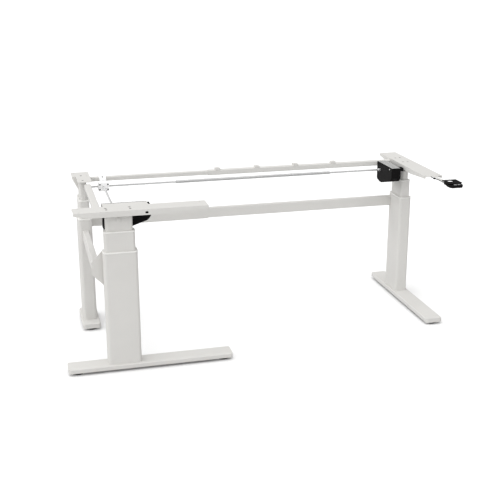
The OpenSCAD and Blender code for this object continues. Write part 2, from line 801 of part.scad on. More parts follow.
module handset_body() {
    half = handset_width / 2;
    hole_x = -5;
    hole_wide = 26;
    hole_long = 28;
    hole_r = 8;
    side_rail = 14;
    color(black) in_frame() translate([handset_x, 0, 0]) difference() {
        union() {
            translate([0, 0, top_height - handset_plate]) linear_extrude(handset_plate) polygon([
                [-half, handset_back], [half, handset_back], [half, handset_back - 70],
                [half - 12, handset_back - 78], [-half + 4, handset_back - 78], [-half, handset_back - 70]]);
            translate([0, 0, handset_low]) linear_extrude(13) polygon([
                [-half + 2, handset_body_back], [half - 4, handset_body_back], [half - 2, handset_front + 14],
                [half - 12, handset_front], [-half + 12, handset_front], [-half + 2, handset_front + 14]]);
            translate([-half + 6, handset_body_back - 20, handset_low + 12])
                cube([handset_width - 14, 20, 4]);
            translate([-half + 2, handset_body_back - 4, handset_low + 4])
                cube([side_rail, rail_back + 4, top_height - handset_low - 4 - handset_plate / 2]);
        }
        translate([hole_x, handset_back - 26, top_height - handset_plate - 1])
            linear_extrude(handset_plate + 2) rounded_rect(hole_wide, hole_long, hole_r);
        for (x = [-1, 1]) translate([x * button_gap / 2 + 4, button_y, handset_low + 8])
            cube([button_size + 2 * fit, 10 + 2 * fit, 20], center = true);
    }
}

module button(side) {
    top = handset_low + 14.5;
    color([0.75, 0.75, 0.75]) in_frame() translate([handset_x + 4 + side * button_gap / 2, button_y, 0]) {
        translate([-button_size / 2, -5, top - 8]) cube([button_size, 10, 8]);
        translate([0, 0, top - 0.2]) cylinder(r = 2.5, h = 0.8, $fn = 3);
    }
}

module up_button() { button(1); }
module down_button() { button(-1); }

function ring(p, d, r, sides) =
    let (n = norm(d), f = d / n, s = cross(f, [0, 0, 1]), su = s / norm(s), u = cross(su, f))
    [for (i = [0:sides - 1]) p + r * cos(360 * i / sides) * su + r * sin(360 * i / sides) * u];
function smooth(p0, p1, p2, p3, t) =
    0.5 * ((2 * p1) + (p2 - p0) * t + (2 * p0 - 5 * p1 + 4 * p2 - p3) * t * t
           + (3 * p1 - p0 - 3 * p2 + p3) * t * t * t);

module swept_tube(route, r, sides, steps) {
    last = len(route) - 1;
    points = [for (i = [0:last - 1]) for (k = [0:steps - 1])
        smooth(route[max(i - 1, 0)], route[i], route[i + 1], route[min(i + 2, last)], k / steps),
        route[last]];
    count = len(points);
    rings = [for (i = [0:count - 1])
        ring(points[i], points[min(i + 1, count - 1)] - points[max(i - 1, 0)], r, sides)];
    polyhedron(
        points = [for (one = rings) for (p = one) p],
        faces = concat(
            [[for (i = [0:sides - 1]) i]],
            [for (i = [0:count - 2]) for (k = [0:sides - 1])
                [i * sides + k, (i + 1) * sides + k,
                 (i + 1) * sides + (k + 1) % sides, i * sides + (k + 1) % sides]],
            [[for (i = [sides - 1:-1:0]) (count - 1) * sides + i]]));
}

module handset_cable() { color(black) at_right() swept_tube(cable_route, cable_d / 2, 8, 4); }

corner_foot();
front_foot();
right_foot();
corner_outer_tube();
front_outer_tube();
right_outer_tube();
base_glides();
right_base_glide();
base_floor_posts();
right_floor_post();
main_beam_outer();
main_beam_inner();
return_beam();
corner_middle_tube();
front_middle_tube();
right_middle_tube();
corner_middle_glide();
front_middle_glide();
right_middle_glide();
corner_nut_carrier();
front_nut_carrier();
right_nut_carrier();
corner_inner_tube();
front_inner_tube();
right_inner_tube();
corner_bracket();
front_bracket();
right_bracket();
return_rail();
rear_rail_inner();
rear_rail_outer();
corner_gearbox();
front_gear_cover();
motor_housing();
motor_gearcase();
motor_can();
motor_rotor();
shaft_rod_left();
shaft_sleeve();
shaft_rod_right();
cross_shaft();
corner_upper_screw();
front_upper_screw();
right_upper_screw();
corner_lower_screw();
front_lower_screw();
right_lower_screw();
top_screws();
right_top_screws();
handset_strip();
handset_body();
handset_cable();
up_button();
down_button();
corner_pad_front();
corner_pad_back();
front_pad_left();
front_pad_right();
right_pad_front();
right_pad_back();
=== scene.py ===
"""Looks of the three-leg corner desk frame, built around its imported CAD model."""

import json
import math

import bmesh
import bpy
from mathutils import Matrix, Vector


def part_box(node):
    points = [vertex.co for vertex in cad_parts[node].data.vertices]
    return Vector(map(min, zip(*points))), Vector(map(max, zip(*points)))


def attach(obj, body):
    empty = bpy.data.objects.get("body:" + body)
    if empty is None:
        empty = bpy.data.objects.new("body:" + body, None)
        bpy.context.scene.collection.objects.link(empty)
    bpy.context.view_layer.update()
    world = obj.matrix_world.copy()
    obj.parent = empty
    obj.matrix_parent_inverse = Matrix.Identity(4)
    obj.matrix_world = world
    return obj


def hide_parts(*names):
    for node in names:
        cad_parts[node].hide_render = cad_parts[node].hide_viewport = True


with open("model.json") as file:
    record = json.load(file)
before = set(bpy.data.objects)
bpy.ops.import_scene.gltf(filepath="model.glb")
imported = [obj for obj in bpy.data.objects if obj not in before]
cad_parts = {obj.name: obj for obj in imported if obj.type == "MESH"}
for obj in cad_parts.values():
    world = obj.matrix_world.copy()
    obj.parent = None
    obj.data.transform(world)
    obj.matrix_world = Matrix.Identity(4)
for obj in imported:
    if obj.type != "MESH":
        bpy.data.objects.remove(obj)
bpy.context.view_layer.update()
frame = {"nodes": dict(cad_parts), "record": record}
record = frame["record"]
BODY_OF = {node: body for body, nodes in record["behaviour"]["bodies"].items() for node in nodes}
SLOT_OF = {part["node"]: part["material_slot"] for part in record["subparts"]}


def middle(node):
    """Centre of a CAD node's box."""
    low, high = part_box(node)
    return (low + high) / 2


def size(node):
    """Width, depth and height of a CAD node's box."""
    low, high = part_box(node)
    return high - low


# ---- places and sizes that the pieces share, in metres ----

# Middles of the three columns, of the main shaft and of the shaft that crosses to the front column.
CORNER = middle("corner_outer_tube")
RIGHT = middle("right_outer_tube")
FRONT = middle("front_outer_tube")
SHAFT = middle("shaft_sleeve")
SHAFT_CROSS = middle("cross_shaft")

# The three legs, and the bodies that their feet and their brackets belong to.
LEGS = ("corner", "front", "right")
BASE_OF = {"corner": "base", "front": "base", "right": "right_base"}
TOP_OF = {"corner": "lift_frame", "front": "lift_frame", "right": "right_top"}

# Height of the brackets' top face, thickness of their sheet and corner radius of the tubes.
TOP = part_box("right_bracket")[1].z
SHEET = 0.003
TUBE_RADIUS = 0.015
INNER_TUBE_RADIUS = 0.011

# Half the depth of the beams and of the outer rear rail, half the beams' height, and the return beam's plate.
BEAM_HALF_DEPTH = 0.014
BEAM_HALF_HEIGHT = 0.028
PLATE = 0.005

# Sunk screws near the ends of the column under a bracket, and the bolts beside them.
HEAD_X = size("right_inner_tube").x / 2 - 0.006
HEAD_Y = size("right_inner_tube").y / 2 - 0.0075
BOLT_X = 0.014

# Drive covers: width, wall, fixing lip, neck to the column, how far these two reach into the shell,
# shaft hole, lower corner of the shallow end, and screw head (radius, height, recess).
HOUSING_LOW, HOUSING_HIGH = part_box("motor_housing")
COVER_WIDTH = 0.050
COVER_WALL = 0.003
LIP = 0.014
NECK_HALF = 0.014
OVERLAP = 0.004
SHAFT_HOLE_RADIUS = 0.0075
SHALLOW_LOW = 0.651
COVER_SCREW = (0.0032, 0.0016, 0.0014)

# The handset's keys, and which way the arrow on each points along y.
KEYS = {"up_button": 1, "down_button": -1}

# Handset cable: its radius, its route from the motor cover as x and y from the right column and z, and the
# points of that route where a clip holds it.
CABLE_RADIUS = 0.002
CABLE_ROUTE = (
    (-0.0663, -0.090, SHAFT.z + 0.012), (-0.0543, -0.090, SHAFT.z + 0.012), (-0.038, -0.097, SHAFT.z + 0.010),
    (-0.020, -0.115, SHAFT.z + 0.014), (-0.006, -0.150, TOP - 0.021), (0.002, -0.200, TOP - 0.013),
    (0.004, -0.260, TOP - 0.012), (0.004, -0.320, TOP - 0.013), (0.005, -0.380, TOP - 0.012),
    (0.008, -0.420, TOP - 0.011), (0.011, -0.455, TOP - 0.013), (0.011, -0.4843, TOP - 0.011))
CLIPPED_POINTS = (5, 6, 7, 8)

# CAD nodes that only need softer edges, with the width of the softening.
SOFTENED = {
    "main_beam_outer": 0.0006, "main_beam_inner": 0.0006, "return_beam": 0.0006, "return_rail": 0.0005,
    "rear_rail_inner": 0.0005, "rear_rail_outer": 0.0006, "corner_bracket": 0.0007, "front_bracket": 0.0007,
    "right_bracket": 0.0007, "handset_strip": 0.0004, "motor_gearcase": 0.0004, "base_glides": 0.0005,
    "right_base_glide": 0.0005, "corner_middle_glide": 0.0005, "front_middle_glide": 0.0005,
    "right_middle_glide": 0.0005}

# Camera, seen from the corner column's axis, with its turn to the right and its tilt down.
CAMERA_FROM_CORNER = Vector((-0.303, -4.332, 0))
CAMERA_HEIGHT = 1.7344
CAMERA_TURN = math.radians(14.572)
CAMERA_TILT = math.radians(17.755)
LENS = 66.51
SENSOR = 36

# Light of the studio: its level, how much brighter it gets upwards, to the right and ahead (darker where
# negative), and the white that the camera sees behind the desk.
SKY_LEVEL = 0.41
SKY_ABOVE = 1.25
SKY_ASIDE = -0.60
SKY_AHEAD = -0.31
WHITE_BEHIND = 1.1

# Floor: half its width, its colour to the camera, and the darker colour that it throws back on the desk.
FLOOR_HALF = 30.0
FLOOR_COLOUR = (0.97, 0.97, 0.97, 1)
FLOOR_BOUNCE = (0.68, 0.68, 0.68, 1)


# ---- camera, light and floor ----

def linked(name, data):
    """A new object in the scene that shows the data."""
    made = bpy.data.objects.new(name, data)
    bpy.context.collection.objects.link(made)
    return made


def make_camera():
    """Looks down on the desk from the left front."""
    camera = linked("camera", bpy.data.cameras.new("camera"))
    camera.data.lens = LENS
    camera.data.sensor_width = SENSOR
    camera.data.clip_end = 100
    camera.location = Vector((CORNER.x, CORNER.y, CAMERA_HEIGHT)) + CAMERA_FROM_CORNER
    camera.rotation_euler = (math.pi / 2 - CAMERA_TILT, 0, -CAMERA_TURN)
    bpy.context.scene.camera = camera


class Graph:
    """A node tree that is filled with one short call for each node."""

    def __init__(self, tree):
        self.tree = tree

    def add(self, kind, settings=None, **inputs):
        """A node with its properties. inputs are values, or the outputs that feed it, by socket name."""
        node = self.tree.nodes.new(kind)
        for name, value in (settings or {}).items():
            setattr(node, name, value)
        for name, value in inputs.items():
            key = int(name[1:]) if name[0] == "_" else name.replace("_", " ")
            self.feed(node.inputs[key], value)
        return node

    def feed(self, socket, value):
        if isinstance(value, bpy.types.NodeSocket):
            self.tree.links.new(value, socket)
        else:
            socket.default_value = value

    def math(self, operation, a, b=0.0, clamp=False):
        return self.add("ShaderNodeMath", {"operation": operation, "use_clamp": clamp}, _0=a, _1=b).outputs[0]

    def ramp(self, value, low, high, out_low=0.0, out_high=1.0):
        """value from low to high becomes out_low to out_high, held at both ends."""
        return self.add("ShaderNodeMapRange", None, Value=value, From_Min=low, From_Max=high,
                        To_Min=out_low, To_Max=out_high).outputs[0]

    def blend(self, factor, a, b):
        node = self.add("ShaderNodeMix", {"data_type": "RGBA"}, _0=factor, _6=a, _7=b)
        return node.outputs[2]


def make_world():
    """White to the camera; for light it is a soft studio, brightest above and on the left."""
    world = bpy.data.worlds.new("studio")
    bpy.context.scene.world = world
    world.use_nodes = True
    world.node_tree.nodes.clear()
    g = Graph(world.node_tree)
    where = g.add("ShaderNodeSeparateXYZ", None, _0=g.add("ShaderNodeTexCoord").outputs["Generated"])
    above = g.math("MULTIPLY", g.math("MAXIMUM", where.outputs["Z"], 0.0), SKY_ABOVE)
    aside = g.math("MULTIPLY", where.outputs["X"], SKY_ASIDE)
    ahead = g.math("MULTIPLY", where.outputs["Y"], SKY_AHEAD)
    level = g.math("ADD", g.math("ADD", above, aside), g.math("ADD", ahead, SKY_LEVEL))
    studio = g.add("ShaderNodeBackground", None, Strength=g.math("MAXIMUM", level, 0.0))
    white = g.add("ShaderNodeBackground", None, Strength=WHITE_BEHIND)
    for one in (studio, white):
        one.inputs["Color"].default_value = (1, 1, 1, 1)
    seen = g.add("ShaderNodeLightPath").outputs["Is Camera Ray"]
    both = g.add("ShaderNodeMixShader", None, _0=seen, _1=studio.outputs[0], _2=white.outputs[0])
    g.add("ShaderNodeOutputWorld", None, Surface=both.outputs[0])


def make_floor():
    """A pale floor that looks white and throws a little less light back up."""
    material, g, shader = start_material("studio_floor")
    seen = g.add("ShaderNodeLightPath").outputs["Is Camera Ray"]
    g.feed(shader.inputs["Base Color"], g.blend(seen, FLOOR_BOUNCE, FLOOR_COLOUR))
    shader.inputs["Roughness"].default_value = 1.0
    shader.inputs["Specular IOR Level"].default_value = 0.0
    shape = bmesh.new()
    bmesh.ops.create_grid(shape, x_segments=1, y_segments=1, size=FLOOR_HALF)
    floor = as_object("floor", shape)
    floor.data.materials.append(material)


# ---- materials ----

def new_group(name, inputs, outputs):
    """A shader node group with named float inputs (name: default) and named float outputs."""
    group = bpy.data.node_groups.new(name, "ShaderNodeTree")
    for label, value in inputs.items():
        group.interface.new_socket(label, in_out="INPUT", socket_type="NodeSocketFloat").default_value = value
    for label in outputs:
        group.interface.new_socket(label, in_out="OUTPUT", socket_type="NodeSocketFloat")
    g = Graph(group)
    given = g.add("NodeGroupInput")
    wanted = g.add("NodeGroupOutput")
    return g, given.outputs, wanted.inputs


def stretched(g, x, y, z):
    """Object coordinates, scaled along each axis."""
    place = g.add("ShaderNodeTexCoord").outputs["Object"]
    return g.add("ShaderNodeMapping", None, Vector=place, Scale=(x, y, z)).outputs[0]


def noise(g, vector, scale, detail=2.0, rough=0.5):
    """Cloudy values from 0 to 1."""
    return g.add("ShaderNodeTexNoise", None, Vector=vector, Scale=scale, Detail=detail,
                 Roughness=rough).outputs["Fac"]


def orange_peel_group():
    """Fine ripple of baked powder paint, with a slow drift of tone and a few faint rub marks."""
    g, given, wanted = new_group("orange_peel", {"Ripple scale": 420.0, "Rub": 0.5},
                                 ("Tone", "Rub mark", "Height"))
    place = stretched(g, 1, 1, 1)
    ripple = noise(g, place, given["Ripple scale"], 2.0)
    pits = noise(g, place, 1900.0, 1.0)
    g.feed(wanted["Height"], g.math("ADD", g.math("MULTIPLY", ripple, 0.8), g.math("MULTIPLY", pits, 0.2)))
    g.feed(wanted["Tone"], noise(g, place, 6.0, 4.0, 0.6))
    streak = noise(g, stretched(g, 60, 60, 9), 1.0, 5.0, 0.65)
    g.feed(wanted["Rub mark"], g.math("MULTIPLY", g.ramp(streak, 0.60, 0.78), given["Rub"]))
    return g.tree


def moulded_grain_group():
    """Spark-eroded grain of an injection-moulded cover, with fine dust in it."""
    g, given, wanted = new_group("moulded_grain", {"Grain scale": 900.0, "Dust": 0.5},
                                 ("Height", "Dust mask", "Tone"))
    place = stretched(g, 1, 1, 1)
    cells = g.add("ShaderNodeTexVoronoi", None, Vector=place, Scale=given["Grain scale"]).outputs["Distance"]
    g.feed(wanted["Height"], g.math("ADD", cells, noise(g, place, 2200.0, 1.0)))
    specks = noise(g, place, 260.0, 4.0, 0.7)
    g.feed(wanted["Dust mask"], g.math("MULTIPLY", g.ramp(specks, 0.62, 0.80), given["Dust"]))
    g.feed(wanted["Tone"], noise(g, place, 14.0, 3.0))
    return g.tree


def drawn_metal_group():
    """Lines left by drawing or turning, which run along x, y or z, with a dull bloom over them."""
    g, given, wanted = new_group("drawn_metal", {"Along x": 1.0, "Along y": 900.0, "Along z": 900.0},
                                 ("Lines", "Bloom"))
    scale = g.add("ShaderNodeCombineXYZ", None, X=given["Along x"], Y=given["Along y"], Z=given["Along z"])
    place = g.add("ShaderNodeTexCoord").outputs["Object"]
    run = g.add("ShaderNodeMapping", None, Vector=place, Scale=scale.outputs[0]).outputs[0]
    g.feed(wanted["Lines"], noise(g, run, 1.0, 3.0, 0.6))
    g.feed(wanted["Bloom"], noise(g, place, 45.0, 4.0, 0.6))
    return g.tree


def start_material(name):
    """A material that holds a shader and its output."""
    material = bpy.data.materials.new(name)
    material.use_nodes = True
    material.node_tree.nodes.clear()
    g = Graph(material.node_tree)
    shader = g.add("ShaderNodeBsdfPrincipled")
    g.add("ShaderNodeOutputMaterial", None, Surface=shader.outputs[0])
    return material, g, shader


def use_group(g, group, **inputs):
    node = g.add("ShaderNodeGroup", {"node_tree": group}, **inputs)
    return node.outputs


def bump(g, shader, height, strength, distance):
    """Lets the height tilt the shader's normal."""
    node = g.add("ShaderNodeBump", None, Height=height, Strength=strength, Distance=distance)
    g.feed(shader.inputs["Normal"], node.outputs[0])


def shade(colour, factor):
    """The colour made darker or lighter, with its alpha."""
    return (*[channel * factor for channel in colour], 1)


def powder_paint(name, colour, gloss=0.52, rub=0.35):
    """Baked powder paint, a little darker and glossier where it is rubbed."""
    material, g, shader = start_material(name)
    peel = use_group(g, ORANGE_PEEL, Rub=rub)
    body = g.blend(g.ramp(peel["Tone"], 0.3, 0.7), shade(colour, 0.975), shade(colour, 1.02))
    rubbed = g.blend(peel["Rub mark"], body, shade(colour, 0.90))
    g.feed(shader.inputs["Base Color"], rubbed)
    g.feed(shader.inputs["Roughness"], g.ramp(peel["Rub mark"], 0.0, 1.0, gloss, gloss - 0.12))
    shader.inputs["Specular IOR Level"].default_value = 0.35
    bump(g, shader, peel["Height"], 0.22, 0.0003)
    return material


def moulded_plastic(name, colour, rough=0.5, specular=0.3, dust=0.25, grain=900.0):
    material, g, shader = start_material(name)
    skin = use_group(g, MOULDED_GRAIN, Dust=dust, Grain_scale=grain)
    body = g.blend(skin["Tone"], shade(colour, 0.85), shade(colour, 1.15))
    dusty = tuple(min(1.0, channel + 0.08) for channel in colour)
    g.feed(shader.inputs["Base Color"], g.blend(skin["Dust mask"], body, shade(dusty, 1.0)))
    g.feed(shader.inputs["Roughness"], g.ramp(skin["Tone"], 0.2, 0.8, rough - 0.06, rough + 0.08))
    shader.inputs["Specular IOR Level"].default_value = specular
    bump(g, shader, skin["Height"], 0.25, 0.00015)
    return material


def bare_metal(name, colour, rough, along, lines=0.25):
    """Machined or drawn metal; along is how slowly the lines change on x, y and z."""
    material, g, shader = start_material(name)
    skin = use_group(g, DRAWN_METAL, Along_x=along[0], Along_y=along[1], Along_z=along[2])
    body = g.blend(skin["Lines"], shade(colour, 1 - lines), shade(colour, 1 + lines / 2))
    g.feed(shader.inputs["Base Color"], g.blend(g.ramp(skin["Bloom"], 0.5, 0.8), body, shade(colour, 0.8)))
    g.feed(shader.inputs["Roughness"], g.ramp(skin["Bloom"], 0.3, 0.7, rough - 0.08, rough + 0.1))
    shader.inputs["Metallic"].default_value = 1.0
    bump(g, shader, skin["Lines"], 0.15, 0.0001)
    return material


def milky_plastic(name, colour):
    """Plastic that lets some light through."""
    material = moulded_plastic(name, colour, rough=0.32, specular=0.4, dust=0.1, grain=500.0)
    shader = next(n for n in material.node_tree.nodes if n.type == "BSDF_PRINCIPLED")
    shader.inputs["Subsurface Weight"].default_value = 0.35
    shader.inputs["Subsurface Radius"].default_value = (0.004, 0.004, 0.004)
    return material


ORANGE_PEEL = orange_peel_group()
MOULDED_GRAIN = moulded_grain_group()
DRAWN_METAL = drawn_metal_group()
PAINT = (0.655, 0.645, 0.622)
ALONG_X = (8.0, 900.0, 900.0)
ALONG_Z = (900.0, 900.0, 8.0)
MATERIALS = {
    "grey_white_paint": powder_paint("grey_white_powder_paint", PAINT),
    "black_plastic": moulded_plastic("black_moulded_plastic", (0.0070, 0.0064, 0.0066), specular=0.04,
                                     dust=0.12),
    "cable_sheath": moulded_plastic("cable_sheath", (0.02, 0.02, 0.02), rough=0.42, grain=2500.0),
    # Keys in grey on the black case: the grey is a painted highlight of the arrow keys.
    "button_plastic": moulded_plastic("grey_button_plastic", (0.36, 0.36, 0.36), rough=0.4),
    # Glide nylon. It is pale partly from its own colour and partly as a painted highlight along the glide
    # rims at the tube tops.
    "nylon": moulded_plastic("natural_nylon", (0.82, 0.815, 0.79), rough=0.38, grain=500.0, dust=0.1),
    "clear_plastic": milky_plastic("milky_gearbox_plastic", (0.93, 0.93, 0.93)),
    "cast_alloy": bare_metal("die_cast_alloy", (0.72, 0.72, 0.71), 0.55, (90.0, 90.0, 90.0), 0.12),
    "bright_steel": bare_metal("bright_plated_steel", (0.93, 0.93, 0.93), 0.42, ALONG_Z, 0.06),
    "motor_steel": powder_paint("motor_can_paint", (0.03, 0.03, 0.032), gloss=0.4),
    "bronze": bare_metal("machined_bronze", (0.62, 0.44, 0.2), 0.35, (600.0, 600.0, 600.0)),
    "bare_steel": bare_metal("drawn_steel", (0.62, 0.62, 0.62), 0.32, ALONG_X),
    "zinc_screw": bare_metal("zinc_screw", (0.45, 0.45, 0.45), 0.4, ALONG_Z),
    "dark_screw": bare_metal("blackened_screw", (0.08, 0.08, 0.08), 0.45, ALONG_Z),
}


# ---- making pieces ----

def as_object(name, shape):
    """An object from a bmesh, which is used up."""
    mesh = bpy.data.meshes.new(name)
    shape.to_mesh(mesh)
    shape.free()
    return linked(name, mesh)


def plain_mesh(thing):
    """The mesh that a curve, or a piece with its modifiers, comes to."""
    bpy.context.view_layer.update()
    graph = bpy.context.evaluated_depsgraph_get()
    return bpy.data.meshes.new_from_object(thing.evaluated_get(graph), depsgraph=graph)


def settled(piece):
    """The piece with its modifiers turned into plain mesh."""
    mesh = plain_mesh(piece)
    piece.modifiers.clear()
    piece.data = mesh
    return piece


def shaded(piece, sharp=44.0):
    """Shades rounds smooth and flats flat, with a crisp line where the surface turns sharply."""
    for face in piece.data.polygons:
        face.use_smooth = True
    piece.data.set_sharp_from_angle(angle=math.radians(sharp))
    normals = piece.modifiers.new("flats", "WEIGHTED_NORMAL")
    normals.keep_sharp = True
    return settled(piece)


def rounded_edges(piece, width, segments=2, angle=32.0):
    """Rounds the piece's sharp edges."""
    bevel = piece.modifiers.new("rounding", "BEVEL")
    bevel.width = width
    bevel.segments = segments
    bevel.limit_method = "ANGLE"
    bevel.angle_limit = math.radians(angle)
    bevel.use_clamp_overlap = True
    return shaded(settled(piece))


def finish(piece, body, slot, *nodes):
    """Gives the piece its material, its body and the CAD nodes that it stands for."""
    piece.data.materials.clear()
    piece.data.materials.append(MATERIALS[slot])
    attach(piece, body)
    if nodes:
        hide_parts(*nodes)
    return piece


def copy_of(node):
    """A merged copy of a CAD node's mesh, with its flats in one face each."""
    shape = bmesh.new()
    shape.from_mesh(frame["nodes"][node].data)
    bmesh.ops.remove_doubles(shape, verts=shape.verts, dist=2e-6)
    bmesh.ops.dissolve_limit(shape, angle_limit=math.radians(0.8), verts=shape.verts, edges=shape.edges,
                             use_dissolve_boundaries=False)
    return as_object(node + "_finished", shape)


def softened(node, width, segments=2):
    """The CAD node's own shape with the small radii that bending, moulding or deburring leaves."""
    piece = rounded_edges(copy_of(node), width, segments)
    return finish(piece, BODY_OF[node], SLOT_OF[node], node)


def arc_corner(before, corner, after, radius, steps):
    """Points of the round that joins the two sides at a corner."""
    a = (before - corner).normalized()
    b = (after - corner).normalized()
    half = a.angle(b) / 2
    centre = corner + (a + b).normalized() * radius / math.sin(half)
    start = corner + a * radius / math.tan(half) - centre
    end = corner + b * radius / math.tan(half) - centre
    sweep = math.atan2(start.x * end.y - start.y * end.x, start.dot(end))
    return [centre + Matrix.Rotation(sweep * i / steps, 2) @ start for i in range(steps + 1)]


def rounded_outline(points, steps=6):
    """A closed outline from (x, y, radius) corners."""
    flat = [Vector(p[:2]) for p in points]
    outline = []
    for i, (_, _, radius) in enumerate(points):
        if radius:
            outline += arc_corner(flat[i - 1], flat[i], flat[(i + 1) % len(flat)], radius, steps)
        else:
            outline.append(flat[i])
    return outline


def prism(name, outline, low, high, axis="z"):
    """The outline carried from low to high along an axis. For x the outline is in y and z."""
    spots = {
        "x": lambda p, t: (t, p.x, p.y),
        "y": lambda p, t: (p.x, t, p.y),
        "z": lambda p, t: (p.x, p.y, t)}
    shape = bmesh.new()
    ends = [[shape.verts.new(spots[axis](p, t)) for p in outline] for t in (low, high)]
    shape.faces.new(reversed(ends[0]))
    shape.faces.new(ends[1])
    for i in range(len(outline)):
        j = (i + 1) % len(outline)
        shape.faces.new((ends[0][i], ends[0][j], ends[1][j], ends[1][i]))
    bmesh.ops.recalc_face_normals(shape, faces=shape.faces)
    return as_object(name, shape)


def block(name, low, high, radius=0.0):
    """A box with upright rounded corners."""
    corners = ((low[0], low[1]), (high[0], low[1]), (high[0], high[1]), (low[0], high[1]))
    return prism(name, rounded_outline([(x, y, radius) for x, y in corners]), low[2], high[2])


def circle(centre, radius, count=32):
    return [Vector((centre[0] + radius * math.cos(2 * math.pi * i / count),
                    centre[1] + radius * math.sin(2 * math.pi * i / count))) for i in range(count)]


def slot_outline(centre, length, radius, steps=8):
    """A round-ended slot that runs along x."""
    half = length / 2 - radius
    return [Vector((centre[0] + side * half + radius * math.cos(a), centre[1] + radius * math.sin(a)))
            for side, start in ((1, -math.pi / 2), (-1, math.pi / 2))
            for a in [start + math.pi * i / steps for i in range(steps + 1)]]


def combine(piece, others, operation):
    """Adds the others to the piece, or cuts them out of it."""
    for other in others:
        change = piece.modifiers.new(operation.lower(), "BOOLEAN")
        change.operation = operation
        change.solver = "EXACT"
        change.object = other
    settled(piece)
    for other in others:
        bpy.data.objects.remove(other)
    return piece


def lathe(name, profile, count=40):
    """A round piece about z from (radius, height) points, closed at both ends on the axis."""
    shape = bmesh.new()
    verts = [shape.verts.new((r, 0, z)) for r, z in profile]
    edges = [shape.edges.new(pair) for pair in zip(verts, verts[1:])]
    bmesh.ops.spin(shape, geom=verts + edges, cent=(0, 0, 0), axis=(0, 0, 1), angle=2 * math.pi,
                   steps=count, use_duplicate=False)
    bmesh.ops.remove_doubles(shape, verts=shape.verts, dist=1e-6)
    bmesh.ops.recalc_face_normals(shape, faces=shape.faces)
    return as_object(name, shape)


# ---- things that repeat, made with geometry nodes ----

def new_rule(name, inputs):
    """A geometry node tree with geometry in and out, the (label, kind, default) inputs and a material."""
    tree = bpy.data.node_groups.new(name, "GeometryNodeTree")
    tree.interface.new_socket("Geometry", in_out="INPUT", socket_type="NodeSocketGeometry")
    for label, kind, value in [*inputs, ("Finish", "Material", None)]:
        made = tree.interface.new_socket(label, in_out="INPUT", socket_type="NodeSocket" + kind)
        if value is not None:
            made.default_value = value
    tree.interface.new_socket("Geometry", in_out="OUTPUT", socket_type="NodeSocketGeometry")
    g = Graph(tree)
    return g, g.add("NodeGroupInput").outputs, g.add("NodeGroupOutput").inputs


def end_in_copies(g, given, wanted, points, source, rotation=None):
    """Puts copies of the source object on the points, made real, and gives them their material."""
    what = g.add("GeometryNodeObjectInfo", None, Object=source)
    copies = g.add("GeometryNodeInstanceOnPoints", None, Points=points, Instance=what.outputs["Geometry"])
    if rotation:
        g.feed(copies.inputs["Rotation"], rotation)
    real = g.add("GeometryNodeRealizeInstances", None, Geometry=copies.outputs[0])
    end_in_material(g, given, wanted, real.outputs[0])


def end_in_material(g, given, wanted, shape):
    done = g.add("GeometryNodeSetMaterial", None, Geometry=shape, Material=given["Finish"])
    g.feed(wanted["Geometry"], done.outputs[0])


def placing_rule():
    """Puts a copy of the prototype at each point, standing along the point's own direction."""
    g, given, wanted = new_rule("place_fasteners", [
        ("Prototype", "Object", None), ("Turn", "Float", 1.0), ("Seed", "Int", 7)])
    way = g.add("GeometryNodeInputNamedAttribute", {"data_type": "FLOAT_VECTOR"}, Name="direction")
    facing = g.add("FunctionNodeAlignRotationToVector", {"axis": "Z"}, Vector=way.outputs[0])
    spin = g.add("FunctionNodeRandomValue", {"data_type": "FLOAT"}, Seed=given["Seed"])
    g.feed(next(s for s in spin.inputs if s.name == "Max" and s.type == "VALUE"), given["Turn"])
    about = g.add("ShaderNodeCombineXYZ", None,
                  Z=next(s for s in spin.outputs if s.type == "VALUE" and s.enabled))
    turned = g.add("FunctionNodeRotateRotation", {"rotation_space": "LOCAL"},
                   Rotation=facing.outputs[0], Rotate_By=about.outputs[0])
    end_in_copies(g, given, wanted, given["Geometry"], given["Prototype"], turned.outputs[0])
    return g.tree


def row_rule():
    """A straight row of copies of the prototype."""
    g, given, wanted = new_rule("row_of_copies", [
        ("Prototype", "Object", None), ("Count", "Int", 5), ("Start", "Vector", None),
        ("Pitch", "Vector", None)])
    line = g.add("GeometryNodeMeshLine", {"mode": "OFFSET"}, Count=given["Count"])
    g.feed(line.inputs["Start Location"], given["Start"])
    g.feed(line.inputs["Offset"], given["Pitch"])
    end_in_copies(g, given, wanted, line.outputs[0], given["Prototype"])
    return g.tree


